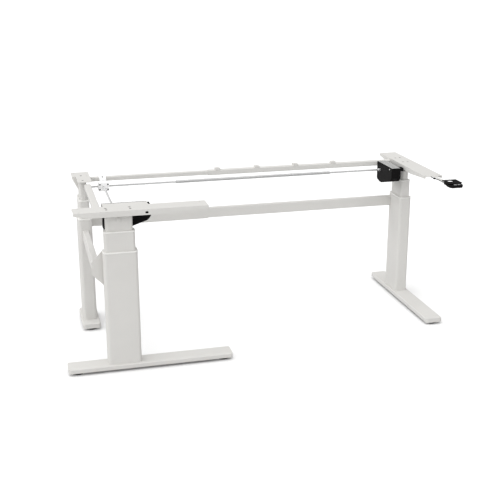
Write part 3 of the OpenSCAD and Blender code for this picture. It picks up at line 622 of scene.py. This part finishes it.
def sleeve_rule():
    """Wraps a strip of pierced cells round the x axis and gives it a wall."""
    g, given, wanted = new_rule("wrap_pierced_strip", [
        ("Cell", "Object", None), ("Cell size", "Float", 0.005), ("Along", "Int", 20), ("Around", "Int", 8),
        ("Radius", "Float", 0.007), ("Wall", "Float", 0.001)])
    last_x = g.math("SUBTRACT", given["Along"], 1)
    last_y = g.math("SUBTRACT", given["Around"], 1)
    spots = g.add("GeometryNodeMeshGrid", None, Vertices_X=given["Along"], Vertices_Y=given["Around"],
                  Size_X=g.math("MULTIPLY", last_x, given["Cell size"]),
                  Size_Y=g.math("MULTIPLY", last_y, given["Cell size"]))
    what = g.add("GeometryNodeObjectInfo", None, Object=given["Cell"])
    copies = g.add("GeometryNodeInstanceOnPoints", None, Points=spots.outputs["Mesh"],
                   Instance=what.outputs["Geometry"])
    real = g.add("GeometryNodeRealizeInstances", None, Geometry=copies.outputs[0])
    flat = g.add("ShaderNodeSeparateXYZ", None, _0=g.add("GeometryNodeInputPosition").outputs[0])
    angle = g.math("DIVIDE", g.math("MULTIPLY", flat.outputs["Y"], 2 * math.pi),
                   g.math("MULTIPLY", given["Around"], given["Cell size"]))
    wrapped = g.add("ShaderNodeCombineXYZ", None, X=flat.outputs["X"],
                    Y=g.math("MULTIPLY", g.math("SINE", angle), given["Radius"]),
                    Z=g.math("MULTIPLY", g.math("COSINE", angle), given["Radius"]))
    tube = g.add("GeometryNodeSetPosition", None, Geometry=real.outputs[0], Position=wrapped.outputs[0])
    joined = g.add("GeometryNodeMergeByDistance", None, Geometry=tube.outputs[0], Distance=2e-5)
    end_in_material(g, given, wanted, joined.outputs[0])
    return g.tree


def bead_rule():
    """A weld bead along the piece's edges, rippled as the arc moves."""
    g, given, wanted = new_rule("weld_bead", [
        ("Bead radius", "Float", 0.0012), ("Ripple", "Float", 0.22), ("Step", "Float", 0.0016)])
    curve = g.add("GeometryNodeMeshToCurve", None, Mesh=given["Geometry"])
    path = g.add("GeometryNodeResampleCurve", {"mode": "LENGTH"}, Curve=curve.outputs[0],
                 Length=given["Step"])
    index = g.add("GeometryNodeInputIndex").outputs[0]
    wave = g.math("MULTIPLY", g.math("SINE", g.math("MULTIPLY", index, 1.5)), given["Ripple"])
    ring = g.add("GeometryNodeCurvePrimitiveCircle", None, Resolution=6)
    g.feed(next(s for s in ring.inputs if s.name == "Radius" and s.enabled), given["Bead radius"])
    bead = g.add("GeometryNodeCurveToMesh", None, Curve=path.outputs[0], Profile_Curve=ring.outputs[0],
                 Scale=g.math("ADD", wave, 1.0), Fill_Caps=True)
    soft = g.add("GeometryNodeSetShadeSmooth", None, Geometry=bead.outputs[0])
    end_in_material(g, given, wanted, soft.outputs[0])
    return g.tree


RULES = {}


def ruled(piece, rule, **values):
    """Runs a geometry node rule on a piece and keeps the plain mesh."""
    if rule not in RULES:
        RULES[rule] = rule()
    modifier = piece.modifiers.new(RULES[rule].name, "NODES")
    modifier.node_group = RULES[rule]
    for item in RULES[rule].interface.items_tree:
        label = item.name.replace(" ", "_")
        if item.in_out == "INPUT" and label in values:
            modifier[item.identifier] = values[label]
    return settled(piece)


def points_object(name, spots):
    """A mesh of loose points, each with the direction that its copy stands along."""
    shape = bmesh.new()
    layer = shape.verts.layers.float_vector.new("direction")
    for place, direction in spots:
        shape.verts.new(place)[layer] = direction
    return as_object(name, shape)


def fasteners(name, prototype, spots, body, slot, *nodes):
    """One piece that holds a copy of the prototype at each (place, direction)."""
    piece = points_object(name, spots)
    ruled(piece, placing_rule, Prototype=prototype, Turn=1.0, Seed=7, Finish=MATERIALS[slot])
    return finish(piece, body, slot, *nodes)


def weld(name, runs, body, radius=0.0011, closed=True):
    """Painted weld beads, one along each run of points."""
    shape = bmesh.new()
    for points in runs:
        verts = [shape.verts.new(point) for point in points]
        ends = verts[1:] + verts[:1] if closed else verts[1:]
        for a, b in zip(verts, ends):
            shape.edges.new((a, b))
    piece = as_object(name, shape)
    ruled(piece, bead_rule, Bead_radius=radius, Finish=MATERIALS["grey_white_paint"])
    return finish(piece, body, "grey_white_paint")


# ---- feet and columns ----

def round_rect_points(low, high, radius, z, grow=0.0):
    """Points of a rounded rectangle at height z, around a box's plan."""
    corners = [(low.x - grow, low.y - grow), (high.x + grow, low.y - grow),
               (high.x + grow, high.y + grow), (low.x - grow, high.y + grow)]
    outline = rounded_outline([(x, y, radius + grow) for x, y in corners])
    return [(p.x, p.y, z) for p in outline]


def make_feet():
    """Flat steel feet with rounded edges."""
    for leg in LEGS:
        softened(leg + "_foot", 0.0012, 3)


def make_columns():
    """Tubes in three stages, each column with a bead of weld where it is joined to its foot."""
    for leg in LEGS:
        softened(leg + "_outer_tube", 0.0006)
        softened(leg + "_middle_tube", 0.0005)
        softened(leg + "_inner_tube", 0.0005)
        low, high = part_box(leg + "_outer_tube")
        foot_joint = round_rect_points(low, high, TUBE_RADIUS, low.z + 0.0005, 0.0002)
        weld(leg + "_foot_weld", [foot_joint], BASE_OF[leg])


def make_levelling_feet():
    """Rubber pad in a moulded cup, a swivel neck and the threaded stud."""
    for node in [one for one in BODY_OF if "_pad_" in one]:
        low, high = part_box(node)
        at = (low + high) / 2
        radius = (high.x - low.x) / 2
        stud = 0.004
        pad = [(0, 0), (radius - 0.0012, 0), (radius, 0.0008), (radius, 0.0026), (radius - 0.0008, 0.0032),
               (radius - 0.0015, 0.0032), (radius - 0.0035, 0.0046), (0.0095, 0.0052), (0.0075, 0.0062),
               (stud, 0.0062)]
        thread = []
        z = 0.0066
        while z < high.z - 0.002:
            thread += [(stud, z), (stud - 0.0005, z + 0.0006)]
            z += 0.0012
        profile = pad + thread + [(stud, high.z - 0.001), (stud - 0.001, high.z), (0, high.z)]
        piece = lathe(node + "_finished", profile, 36)
        notches = []
        count = 3
        for i in range(count):
            notch = block("notch", (radius - 0.0025, -0.002, -0.001), (radius + 0.002, 0.002, 0.0016))
            notch.data.transform(Matrix.Rotation(i * 2 * math.pi / count, 4, "Z"))
            notches.append(notch)
        combine(piece, notches, "DIFFERENCE")
        piece.data.transform(Matrix.Translation((at.x, at.y, 0)))
        for face in piece.data.polygons:
            face.use_smooth = False
        rounded_edges(piece, 0.0002, 1, 40)
        finish(piece, BODY_OF[node], "black_plastic", node)


# ---- the rest of the CAD nodes ----

def make_softened():
    """The pieces whose CAD shape is already right, with softer edges."""
    for node, width in SOFTENED.items():
        softened(node, width)


def paint_cad_nodes():
    """Every CAD node that is still shown gets its finish."""
    for node, thing in frame["nodes"].items():
        thing.data.materials.clear()
        thing.data.materials.append(MATERIALS[SLOT_OF[node]])


# ---- drive covers ----

def cover_profile(deep, shallow, shaft, low, high, deep_rise):
    """Side outline of a drive cover: deep round the gears at one end, shallow at the other."""
    step = math.copysign(1, shallow - deep)
    corner = low + deep_rise
    return rounded_outline([
        (deep, high, 0), (deep, corner + 0.006, 0.010), (deep + step * 0.008, corner - 0.002, 0.010),
        (shaft - step * 0.005, low, 0.020), (shaft + step * 0.012, low, 0.040),
        (shallow - step * 0.014, SHALLOW_LOW - 0.004, 0.020), (shallow, SHALLOW_LOW + 0.014, 0.012),
        (shallow, high, 0)])


def grown(outline, amount):
    """The outline moved outwards by an amount."""
    turn = sum(a.x * b.y - a.y * b.x for a, b in zip(outline, outline[1:] + outline[:1]))
    side = math.copysign(1, turn)
    moved = []
    for i, point in enumerate(outline):
        along = (outline[(i + 1) % len(outline)] - outline[i - 1]).normalized()
        moved.append(point + Vector((along.y, -along.x)) * side * amount)
    return moved


def screw_prototype(name, radius, height, recess):
    """Button head with a hexagonal recess, standing on z = 0."""
    rings = 6
    dome = [(radius * math.cos(math.pi / 2 * i / rings), height * math.sin(math.pi / 2 * i / rings))
            for i in range(rings)]
    head = lathe(name, [(0, -0.0005), (radius, -0.0005)] + dome + [(0, height)], 24)
    cutter = prism("recess", circle((0, 0), recess, 6), height * 0.35, height * 2)
    return shaded(combine(head, [cutter], "DIFFERENCE"))


def sunk_screw_prototype(name, radius, depth, recess):
    """Countersunk head with a hexagonal recess, its flat face on z = 0."""
    edge = 0.0003
    cone = [(0, -depth), (radius * 0.5, -depth), (radius, -edge), (radius - edge, 0), (0, 0)]
    head = lathe(name, cone, 32)
    cutter = prism("recess", circle((0, 0), recess, 6), -depth * 0.75, depth)
    return shaded(combine(head, [cutter], "DIFFERENCE"))


def cover_shell(name, profile, start, axis, neck, lip, recess):
    """A moulded cover with rounded sides, a seam, a neck to the column, a lip and an open top."""
    shell = rounded_edges(prism(name, profile, start, start + COVER_WIDTH, axis), 0.0035, 4)
    combine(shell, [neck, lip], "UNION")
    seam_at = start + COVER_WIDTH * 0.62
    seam = prism("seam", grown(profile, 0.002), seam_at, seam_at + 0.0007, axis)
    core = prism("core", grown(profile, -0.0007), seam_at - 0.001, seam_at + 0.002, axis)
    combine(seam, [core], "DIFFERENCE")
    return combine(shell, [seam, recess], "DIFFERENCE")


def make_motor_cover():
    """Black cover under the right bracket, with a recess for the shaft and an inlet for the mains lead."""
    low, high = HOUSING_LOW, HOUSING_HIGH
    front, back = low.y, high.y
    inside = low.x + COVER_WIDTH
    neck = block("neck", (inside - OVERLAP, SHAFT.y - NECK_HALF, SHAFT.z - NECK_HALF),
                 (high.x, SHAFT.y + NECK_HALF, SHAFT.z + NECK_HALF))
    lip = block("lip", (inside - OVERLAP, front + 0.004, high.z - LIP),
                (inside + LIP, front + 0.034, high.z), 0.002)
    recess = block("recess", (low.x + COVER_WALL, front + COVER_WALL, high.z - 0.030),
                   (inside - COVER_WALL, back - COVER_WALL, high.z + 0.01), 0.002)
    profile = cover_profile(back, front, SHAFT.y, low.z, high.z, 0.009)
    cover = cover_shell("motor_cover", profile, low.x, "x", neck, lip, recess)
    shaft_hole = prism("shaft_hole", circle((SHAFT.y, SHAFT.z), SHAFT_HOLE_RADIUS),
                       low.x - 0.01, low.x + 0.02, "x")
    inlet_depth = 0.014
    inlet_low, inlet_high = 0.659, 0.677
    inlet_x = low.x + COVER_WIDTH / 2
    inlet = block("inlet", (inlet_x - 0.013, back - inlet_depth, inlet_low),
                  (inlet_x + 0.013, back + 0.01, inlet_high), 0.002)
    combine(cover, [shaft_hole, inlet], "DIFFERENCE")
    combine(cover, vent_slots(low.x + 0.010, back), "DIFFERENCE")
    finish(shaded(cover), "right_top", "black_plastic", "motor_housing")
    make_shaft_collar(low.x)
    head = screw_prototype("cover_screw", *COVER_SCREW)
    spots = [((low.x, front + 0.028, high.z - 0.010), Vector((-1, 0, 0)))]
    fasteners("motor_cover_screw", head, spots, "right_top", "bright_steel")
    bpy.data.objects.remove(head)
    make_inlet_pins(inlet_x, back - inlet_depth, (inlet_low + inlet_high) / 2)


def vent_slots(first, back):
    """Cutters for a row of upright vents in the motor cover's back face."""
    pitch, width, depth = 0.006, 0.003, 0.0022
    return [block("vent", (first + pitch * i, back - depth, 0.686),
                  (first + width + pitch * i, back + 0.001, 0.702), 0.001) for i in range(6)]


def make_shaft_collar(face):
    """Turned collar where the main shaft enters the motor cover."""
    bore, radius, length = 0.0050, 0.0064, 0.0140
    collar = lathe("shaft_collar", [(bore, 0), (radius, 0), (radius, length - 0.0015),
                                    (radius - 0.0006, length), (bore, length), (bore, 0)], 32)
    place = Matrix.Translation((face, SHAFT.y, SHAFT.z))
    collar.data.transform(place @ Matrix.Rotation(-math.pi / 2, 4, "Y"))
    finish(shaded(collar), "right_top", "bright_steel")


def make_inlet_pins(x, floor, z):
    """Three round pins at the bottom of the mains inlet, the middle one higher."""
    pin = prism("pin", circle((0, 0), 0.0011, 10), -0.004, 0.0)
    pin.data.transform(Matrix.Rotation(math.pi, 4, "Y"))
    spots = [((x + 0.006 * i, floor, z + (0.003 if i == 0 else -0.001)), (0, 1, 0)) for i in (-1, 0, 1)]
    fasteners("mains_inlet_pins", pin, spots, "right_top", "bare_steel")
    bpy.data.objects.remove(pin)


def make_front_cover():
    """Black cover behind the front column, under the wing of its bracket."""
    low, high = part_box("front_gear_cover")
    near = high.y - COVER_WIDTH
    top = HOUSING_HIGH.z
    neck = block("neck", (SHAFT_CROSS.x - NECK_HALF, low.y, SHAFT.z - NECK_HALF),
                 (SHAFT_CROSS.x + NECK_HALF, near + OVERLAP, SHAFT.z + NECK_HALF))
    lip = block("lip", (high.x - 0.034, near - LIP, top - LIP), (high.x - 0.004, near + OVERLAP, top), 0.002)
    recess = block("recess", (low.x + COVER_WALL, near + COVER_WALL, top - 0.030),
                   (high.x - COVER_WALL, high.y - COVER_WALL, high.z + 0.01), 0.002)
    profile = cover_profile(low.x, high.x, SHAFT_CROSS.x, low.z, top, 0.004)
    cover = cover_shell("front_cover", profile, near, "y", neck, lip, recess)
    rim = block("rim", (low.x, high.y - COVER_WALL, top - 0.003), (high.x - 0.011, high.y, high.z), 0.001)
    combine(cover, [rim], "UNION")
    hole = prism("shaft_hole", circle((SHAFT_CROSS.x, SHAFT.z), SHAFT_HOLE_RADIUS),
                 high.y - 0.02, high.y + 0.01, "y")
    combine(cover, [hole], "DIFFERENCE")
    finish(shaded(cover), "lift_frame", "black_plastic", "front_gear_cover")
    head = screw_prototype("cover_screw", *COVER_SCREW)
    back = Vector((0, 1, 0))
    spots = [((low.x + 0.012, high.y, top - 0.012), back), ((high.x - 0.012, high.y, top - 0.008), back),
             ((low.x + 0.030, high.y, low.z + 0.016), back)]
    fasteners("front_cover_screws", head, spots, "lift_frame", "bare_steel")
    bpy.data.objects.remove(head)


# ---- corner gearbox ----

def make_gearbox():
    """Milky moulded box round the bevel gears, hung from the rear rail by a strap with a screw."""
    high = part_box("corner_gearbox")[1]
    at = Vector((SHAFT_CROSS.x, SHAFT.y, SHAFT.z))
    half = Vector((0.025, 0.023, 0.020))
    front = at.y - half.y
    hole_radius = 0.0062
    pocket_depth = 0.0035
    corners = [(at.x + x, at.z + z) for x in (-0.019, 0.019) for z in (-0.012, 0.012)]
    core = rounded_edges(block("gearbox", at - half, at + half, 0.006), 0.0015, 3)
    flange = block("flange", (at.x - half.x, front, at.z - half.z + 0.004),
                   (at.x + half.x, front + 0.005, at.z + half.z - 0.004), 0.001)
    combine(core, [flange, gearbox_strap(at, half, high)], "UNION")
    cuts = [prism("pocket", circle(corner, 0.0042, 24), front - 0.001, front + pocket_depth, "y")
            for corner in corners]
    cuts.append(prism("rod_hole", circle((at.y, at.z), hole_radius, 24), at.x - 0.03, at.x + 0.03, "x"))
    cuts.append(prism("cross_hole", circle((at.x, at.z), hole_radius, 24), at.y - 0.03, at.y, "y"))
    cuts += [block("rib_gap", (at.x + x - 0.003, front + 0.008, at.z + half.z - 0.0018),
                   (at.x + x + 0.003, at.y + half.y - 0.006, at.z + half.z + 0.004), 0.001)
             for x in (-0.016, -0.008, 0.0, 0.008, 0.016)]
    combine(core, cuts, "DIFFERENCE")
    finish(shaded(core), "lift_frame", "clear_plastic", "corner_gearbox")
    head = screw_prototype("gearbox_bolt", 0.0036, 0.0022, 0.0017)
    bolt_y = front + pocket_depth - 0.0003
    spots = [((x, bolt_y, z), Vector((0, -1, 0))) for x, z in corners]
    spots.append(((at.x, at.y + half.y + 0.012, high.z - 0.003), (0, 0, 1)))
    fasteners("gearbox_bolts", head, spots, "lift_frame", "dark_screw")
    bpy.data.objects.remove(head)


def gearbox_strap(at, half, high):
    """Strap that rises from the gearbox's back to the rear rail."""
    reach, rise = high.y - at.y, high.z - at.z
    outline = rounded_outline([
        (half.y - 0.004, 0.012, 0.0), (half.y - 0.004, 0.030, 0.005), (reach, rise, 0.0),
        (reach, rise - 0.010, 0.0), (half.y + 0.010, 0.012, 0.006)])
    placed = [Vector((p.x + at.y, p.y + at.z)) for p in outline]
    return prism("strap", placed, at.x - 0.016, at.x + 0.016, "x")


# ---- shafts ----

def pierced_cell(width):
    """A flat square with a round hole in it."""
    sides = 8
    square = ((1, 0), (1, 1), (0, 1), (-1, 1), (-1, 0), (-1, -1), (0, -1), (1, -1))
    shape = bmesh.new()
    outer = [shape.verts.new((width / 2 * x, width / 2 * y, 0)) for x, y in square]
    inner = [shape.verts.new((p.x, p.y, 0)) for p in circle((0, 0), width * 0.27, sides)]
    for i in range(sides):
        j = (i + 1) % sides
        shape.faces.new((outer[i], outer[j], inner[j], inner[i]))
    return as_object("pierced_cell", shape)


def make_pierced_sleeve():
    """Thin tube with rows of round holes, over the two hexagonal rods."""
    low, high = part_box("shaft_sleeve")
    radius = (high.z - low.z) / 2
    around = 8
    cell = 2 * math.pi * radius / around
    along = round((high.x - low.x - 0.001) / cell)
    prototype = pierced_cell(cell)
    sleeve = as_object("pierced_sleeve", bmesh.new())
    ruled(sleeve, sleeve_rule, Cell=prototype, Cell_size=cell, Along=along, Around=around,
          Radius=radius - 0.0001, Finish=MATERIALS["bare_steel"])
    sleeve.data.transform(Matrix.Translation(((low.x + high.x) / 2, SHAFT.y, SHAFT.z)))
    wall = sleeve.modifiers.new("wall", "SOLIDIFY")
    wall.thickness = 0.0011
    wall.offset = -1.0
    settled(sleeve)
    finish(shaded(sleeve, 35), "main_shaft", "bare_steel", "shaft_sleeve")
    bpy.data.objects.remove(prototype)


def make_shafts():
    """The sleeve, the two hexagonal rods, the cross shaft and a cap at the front column."""
    make_pierced_sleeve()
    for node in ("shaft_rod_left", "shaft_rod_right", "cross_shaft"):
        softened(node, 0.0003, 1)
    bright = bpy.data.objects["cross_shaft_finished"]
    bright.data.materials[0] = MATERIALS["bright_steel"]
    cap = lathe("shaft_end_cap", [(0, 0), (0.0098, 0), (0.0104, 0.0006), (0.0104, 0.0014), (0.0094, 0.0022),
                                  (0.004, 0.0026), (0, 0.0026)], 36)
    cap.data.transform(Matrix.Translation((FRONT.x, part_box("front_inner_tube")[0].y, SHAFT.z))
                       @ Matrix.Rotation(math.pi / 2, 4, "X"))
    finish(shaded(cap), "lift_frame", "grey_white_paint")


# ---- screws, bolts and welds of the frame ----

def make_bracket_screws():
    """Sunk screws on the open side of each bracket, dark bolts down in the holes on the drive side."""
    sunk_head = sunk_screw_prototype("bracket_screw", 0.0051, 0.0021, 0.0020)
    bolt = screw_prototype("column_bolt", 0.0050, 0.0024, 0.0024)
    up = Vector((0, 0, 1))
    both = (-HEAD_Y, HEAD_Y)
    fixed = [((CORNER.x, CORNER.y + y, TOP), up) for y in both]
    fixed += [((FRONT.x + x, FRONT.y - HEAD_X, TOP), up) for x in both]
    fasteners("top_screw_heads", sunk_head, fixed, "lift_frame", "dark_screw", "top_screws")
    front, rear = [((RIGHT.x + HEAD_X, RIGHT.y + y, TOP), up) for y in both]
    fasteners("right_front_screw_head", sunk_head, [front], "right_top", "zinc_screw", "right_top_screws")
    fasteners("right_rear_screw_head", sunk_head, [rear], "right_top", "dark_screw")
    sunk = TOP - SHEET - 0.0003
    fasteners("front_column_bolts", bolt, [((FRONT.x + x, FRONT.y + BOLT_X, sunk), up) for x in both],
              "lift_frame", "dark_screw")
    fasteners("right_column_bolts", bolt, [((RIGHT.x - BOLT_X, RIGHT.y + y, sunk), up) for y in both],
              "right_top", "dark_screw")
    for used in (sunk_head, bolt):
        bpy.data.objects.remove(used)


def make_beam_bolts():
    """Bolts through the return beam's plate, and grub screws that lock the sliding beam and rail."""
    bolt = screw_prototype("plate_bolt", 0.0062, 0.0036, 0.0028)
    low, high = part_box("return_beam")
    plate_face = low.y + PLATE
    middle_z = (low.z + high.z) / 2
    spots = [((FRONT.x + x, plate_face, middle_z + z), Vector((0, 1, 0)))
             for x in (-0.055, -0.030) for z in (-0.046, 0.046)]
    fasteners("return_plate_bolts", bolt, spots, "base", "bare_steel")
    grub = screw_prototype("grub_screw", 0.0040, 0.0014, 0.0020)
    pitch = 0.070
    down = (0, 0, -1)
    beam_low, beam_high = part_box("main_beam_outer")
    spots = [((beam_high.x - 0.030 - pitch * i, beam_low.y + BEAM_HALF_DEPTH, beam_low.z), down)
             for i in (0, 1)]
    fasteners("beam_lock_screws", grub, spots, "base", "dark_screw")
    rail_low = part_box("rear_rail_outer")[0]
    spots = [((rail_low.x + 0.025 + pitch * i, rail_low.y + BEAM_HALF_DEPTH, rail_low.z), down)
             for i in (0, 1)]
    fasteners("rail_lock_screws", grub, spots, "right_top", "dark_screw")
    for used in (bolt, grub):
        bpy.data.objects.remove(used)


def make_welds():
    """Beads where the rails and plates are joined to the brackets and columns."""
    rail_low, rail_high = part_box("return_rail")
    loop = [(rail_low.x, rail_low.y, rail_low.z), (rail_high.x, rail_low.y, rail_low.z),
            (rail_high.x, rail_low.y, rail_high.z), (rail_low.x, rail_low.y, rail_high.z)]
    weld("return_rail_weld", [loop], "lift_frame", 0.0010)
    low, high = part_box("return_beam")
    z = (low.z + high.z) / 2
    section = [(x * BEAM_HALF_DEPTH, h * BEAM_HALF_HEIGHT) for x, h in ((-1, -1), (1, -1), (1, 1), (-1, 1))]
    runs = [[(CORNER.x + x, y, z + h) for x, h in section] for y in (high.y - 0.0005, low.y + PLATE + 0.0005)]
    weld("return_beam_welds", runs, "base", 0.0012)
    for leg, body in TOP_OF.items():
        low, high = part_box(leg + "_inner_tube")
        joint = round_rect_points(low, high, INNER_TUBE_RADIUS, high.z - 0.0006)
        weld(leg + "_bracket_weld", [joint], body, 0.0010)


# ---- handset ----

def make_handset():
    """Flat moulded bracket with a finger hole, over a keypad body with two keys."""
    low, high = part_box("handset_body")
    x = (low.x + high.x) / 2
    half = (high.x - low.x) / 2
    back = high.y
    front = low.y
    plate_low = high.z - SHEET
    plate = prism("handset_plate", rounded_outline([
        (x - half, back, 0.003), (x + half, back, 0.004), (x + half, back - 0.070, 0.004),
        (x + half - 0.012, back - 0.078, 0.006), (x - half + 0.004, back - 0.078, 0.003),
        (x - half, back - 0.070, 0.004)]), plate_low, high.z)
    rounded_edges(plate, 0.0009, 3)
    body_back = back - 0.044
    keypad = prism("keypad", rounded_outline([
        (x - half + 0.002, body_back, 0.004), (x + half - 0.004, body_back, 0.004),
        (x + half - 0.002, front + 0.014, 0.006), (x + half - 0.012, front, 0.008),
        (x - half + 0.012, front, 0.008), (x - half + 0.002, front + 0.014, 0.006)]), low.z, low.z + 0.013)
    rounded_edges(keypad, 0.0028, 4)
    bridge = block("bridge", (x - half + 0.006, body_back - 0.020, low.z + 0.010),
                   (x + half - 0.008, body_back - 0.001, plate_low + 0.001), 0.003)
    side_rail = block("side_rail", (x - half + 0.002, body_back - 0.004, low.z + 0.004),
                      (x - half + 0.016, body_back + 0.024, plate_low + 0.001), 0.003)
    combine(plate, [keypad, bridge, side_rail], "UNION")
    cuts = [block("finger_hole", (x - 0.018, back - 0.040, plate_low - 0.001),
                  (x + 0.008, back - 0.012, high.z + 0.001), 0.008)]
    gap = 0.0004
    for key in KEYS:
        key_low, key_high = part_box(key)
        cuts.append(block("key_well", (key_low.x - gap, key_low.y - gap, low.z + 0.004),
                          (key_high.x + gap, key_high.y + gap, low.z + 0.030), 0.0012))
    cuts.append(prism("rim_groove", slot_outline((x - 0.012, front + 0.0105), 0.030, 0.0006),
                      low.z + 0.0125, low.z + 0.02))
    combine(plate, cuts, "DIFFERENCE")
    plate.name = "handset_case"
    finish(shaded(plate), "right_top", "black_plastic", "handset_body")


def make_keys():
    """Soft-cornered keys, each with a raised arrow."""
    for key, way in KEYS.items():
        low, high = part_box(key)
        top = high.z - 0.0006
        cap = rounded_edges(block(key + "_cap", low, (high.x, high.y, top), 0.0018), 0.0007, 3)
        x, y = (low.x + high.x) / 2, (low.y + high.y) / 2
        foot_y, tip_y = y - way * 0.0016, y + way * 0.0022
        tip = 0.0004
        outline = rounded_outline([(x - 0.0024, foot_y, tip), (x + 0.0024, foot_y, tip), (x, tip_y, tip)], 3)
        arrow = prism("arrow", outline, top - 0.0006, high.z)
        combine(cap, [arrow], "UNION")
        # The keys' grey material is painted highlight.
        finish(shaded(cap), BODY_OF[key], "button_plastic", key)


# ---- handset cable ----

def make_cable():
    """Round cable along its route under the bracket."""
    places = [Vector((RIGHT.x + x, RIGHT.y + y, z)) for x, y, z in CABLE_ROUTE]
    curve = bpy.data.curves.new("cable", "CURVE")
    curve.dimensions = "3D"
    curve.bevel_depth = CABLE_RADIUS
    curve.bevel_resolution = 4
    curve.resolution_u = 6
    curve.use_fill_caps = True
    spline = curve.splines.new("BEZIER")
    spline.bezier_points.add(len(places) - 1)
    for point, place in zip(spline.bezier_points, places):
        point.co = place
        point.handle_left_type = point.handle_right_type = "AUTO"
    path = linked("cable_path", curve)
    cable = linked("handset_cable_finished", plain_mesh(path))
    bpy.data.objects.remove(path)
    for face in cable.data.polygons:
        face.use_smooth = True
    finish(cable, "right_top", "cable_sheath", "handset_cable")
    make_cable_clips([places[i] for i in CLIPPED_POINTS])


def make_cable_clips(places):
    """Clips that hold the cable under the bracket: a small plate with a loop round the cable."""
    clip = block("cable_clip", (-0.006, -0.005, -0.0028), (0.006, 0.005, 0.0), 0.0015)
    inner, outer, half = CABLE_RADIUS + 0.0002, 0.0033, 0.004
    section = [(inner, -half), (outer, -half), (outer, half), (inner, half), (inner, -half)]
    loop = lathe("clip_loop", section, 20)
    loop.data.transform(Matrix.Translation((0, 0, 0.0005)) @ Matrix.Rotation(math.pi / 2, 4, "X"))
    combine(clip, [loop], "UNION")
    rounded_edges(clip, 0.0003, 1)
    fixed = points_object("cable_clips", [(place, Vector((0, 0, 1))) for place in places])
    ruled(fixed, placing_rule, Prototype=clip, Turn=0.0, Seed=1, Finish=MATERIALS["black_plastic"])
    finish(fixed, "right_top", "black_plastic")
    bpy.data.objects.remove(clip)


# ---- ribbed top of the gear case ----

def make_case_fins():
    """Broad ribs on the gear case's lid, under the open top of its cover."""
    low, high = HOUSING_LOW, HOUSING_HIGH
    wall = COVER_WALL + 0.0008
    width, height = 0.0070, 0.0032
    count, pitch = 4, 0.011
    rib = block("rib", (0, 0, 0), (width, high.y - low.y - 2 * wall, height), 0.0007)
    rounded_edges(rib, 0.0006, 2)
    ribs = as_object("gearcase_ribs", bmesh.new())
    first = low.x + COVER_WIDTH / 2 - (count - 1) / 2 * pitch - width / 2
    ruled(ribs, row_rule, Prototype=rib, Count=count,
          Start=(first, low.y + wall, high.z - height - 0.0001), Pitch=(pitch, 0, 0),
          Finish=MATERIALS["cast_alloy"])
    finish(ribs, "right_top", "cast_alloy")
    bpy.data.objects.remove(rib)


make_camera()
make_world()
make_floor()
paint_cad_nodes()
make_feet()
make_columns()
make_levelling_feet()
make_softened()
make_motor_cover()
make_front_cover()
make_gearbox()
make_shafts()
make_bracket_screws()
make_beam_bolts()
make_welds()
make_handset()
make_keys()
make_cable()
make_case_fins()

bpy.context.scene.view_settings.view_transform = "Standard"
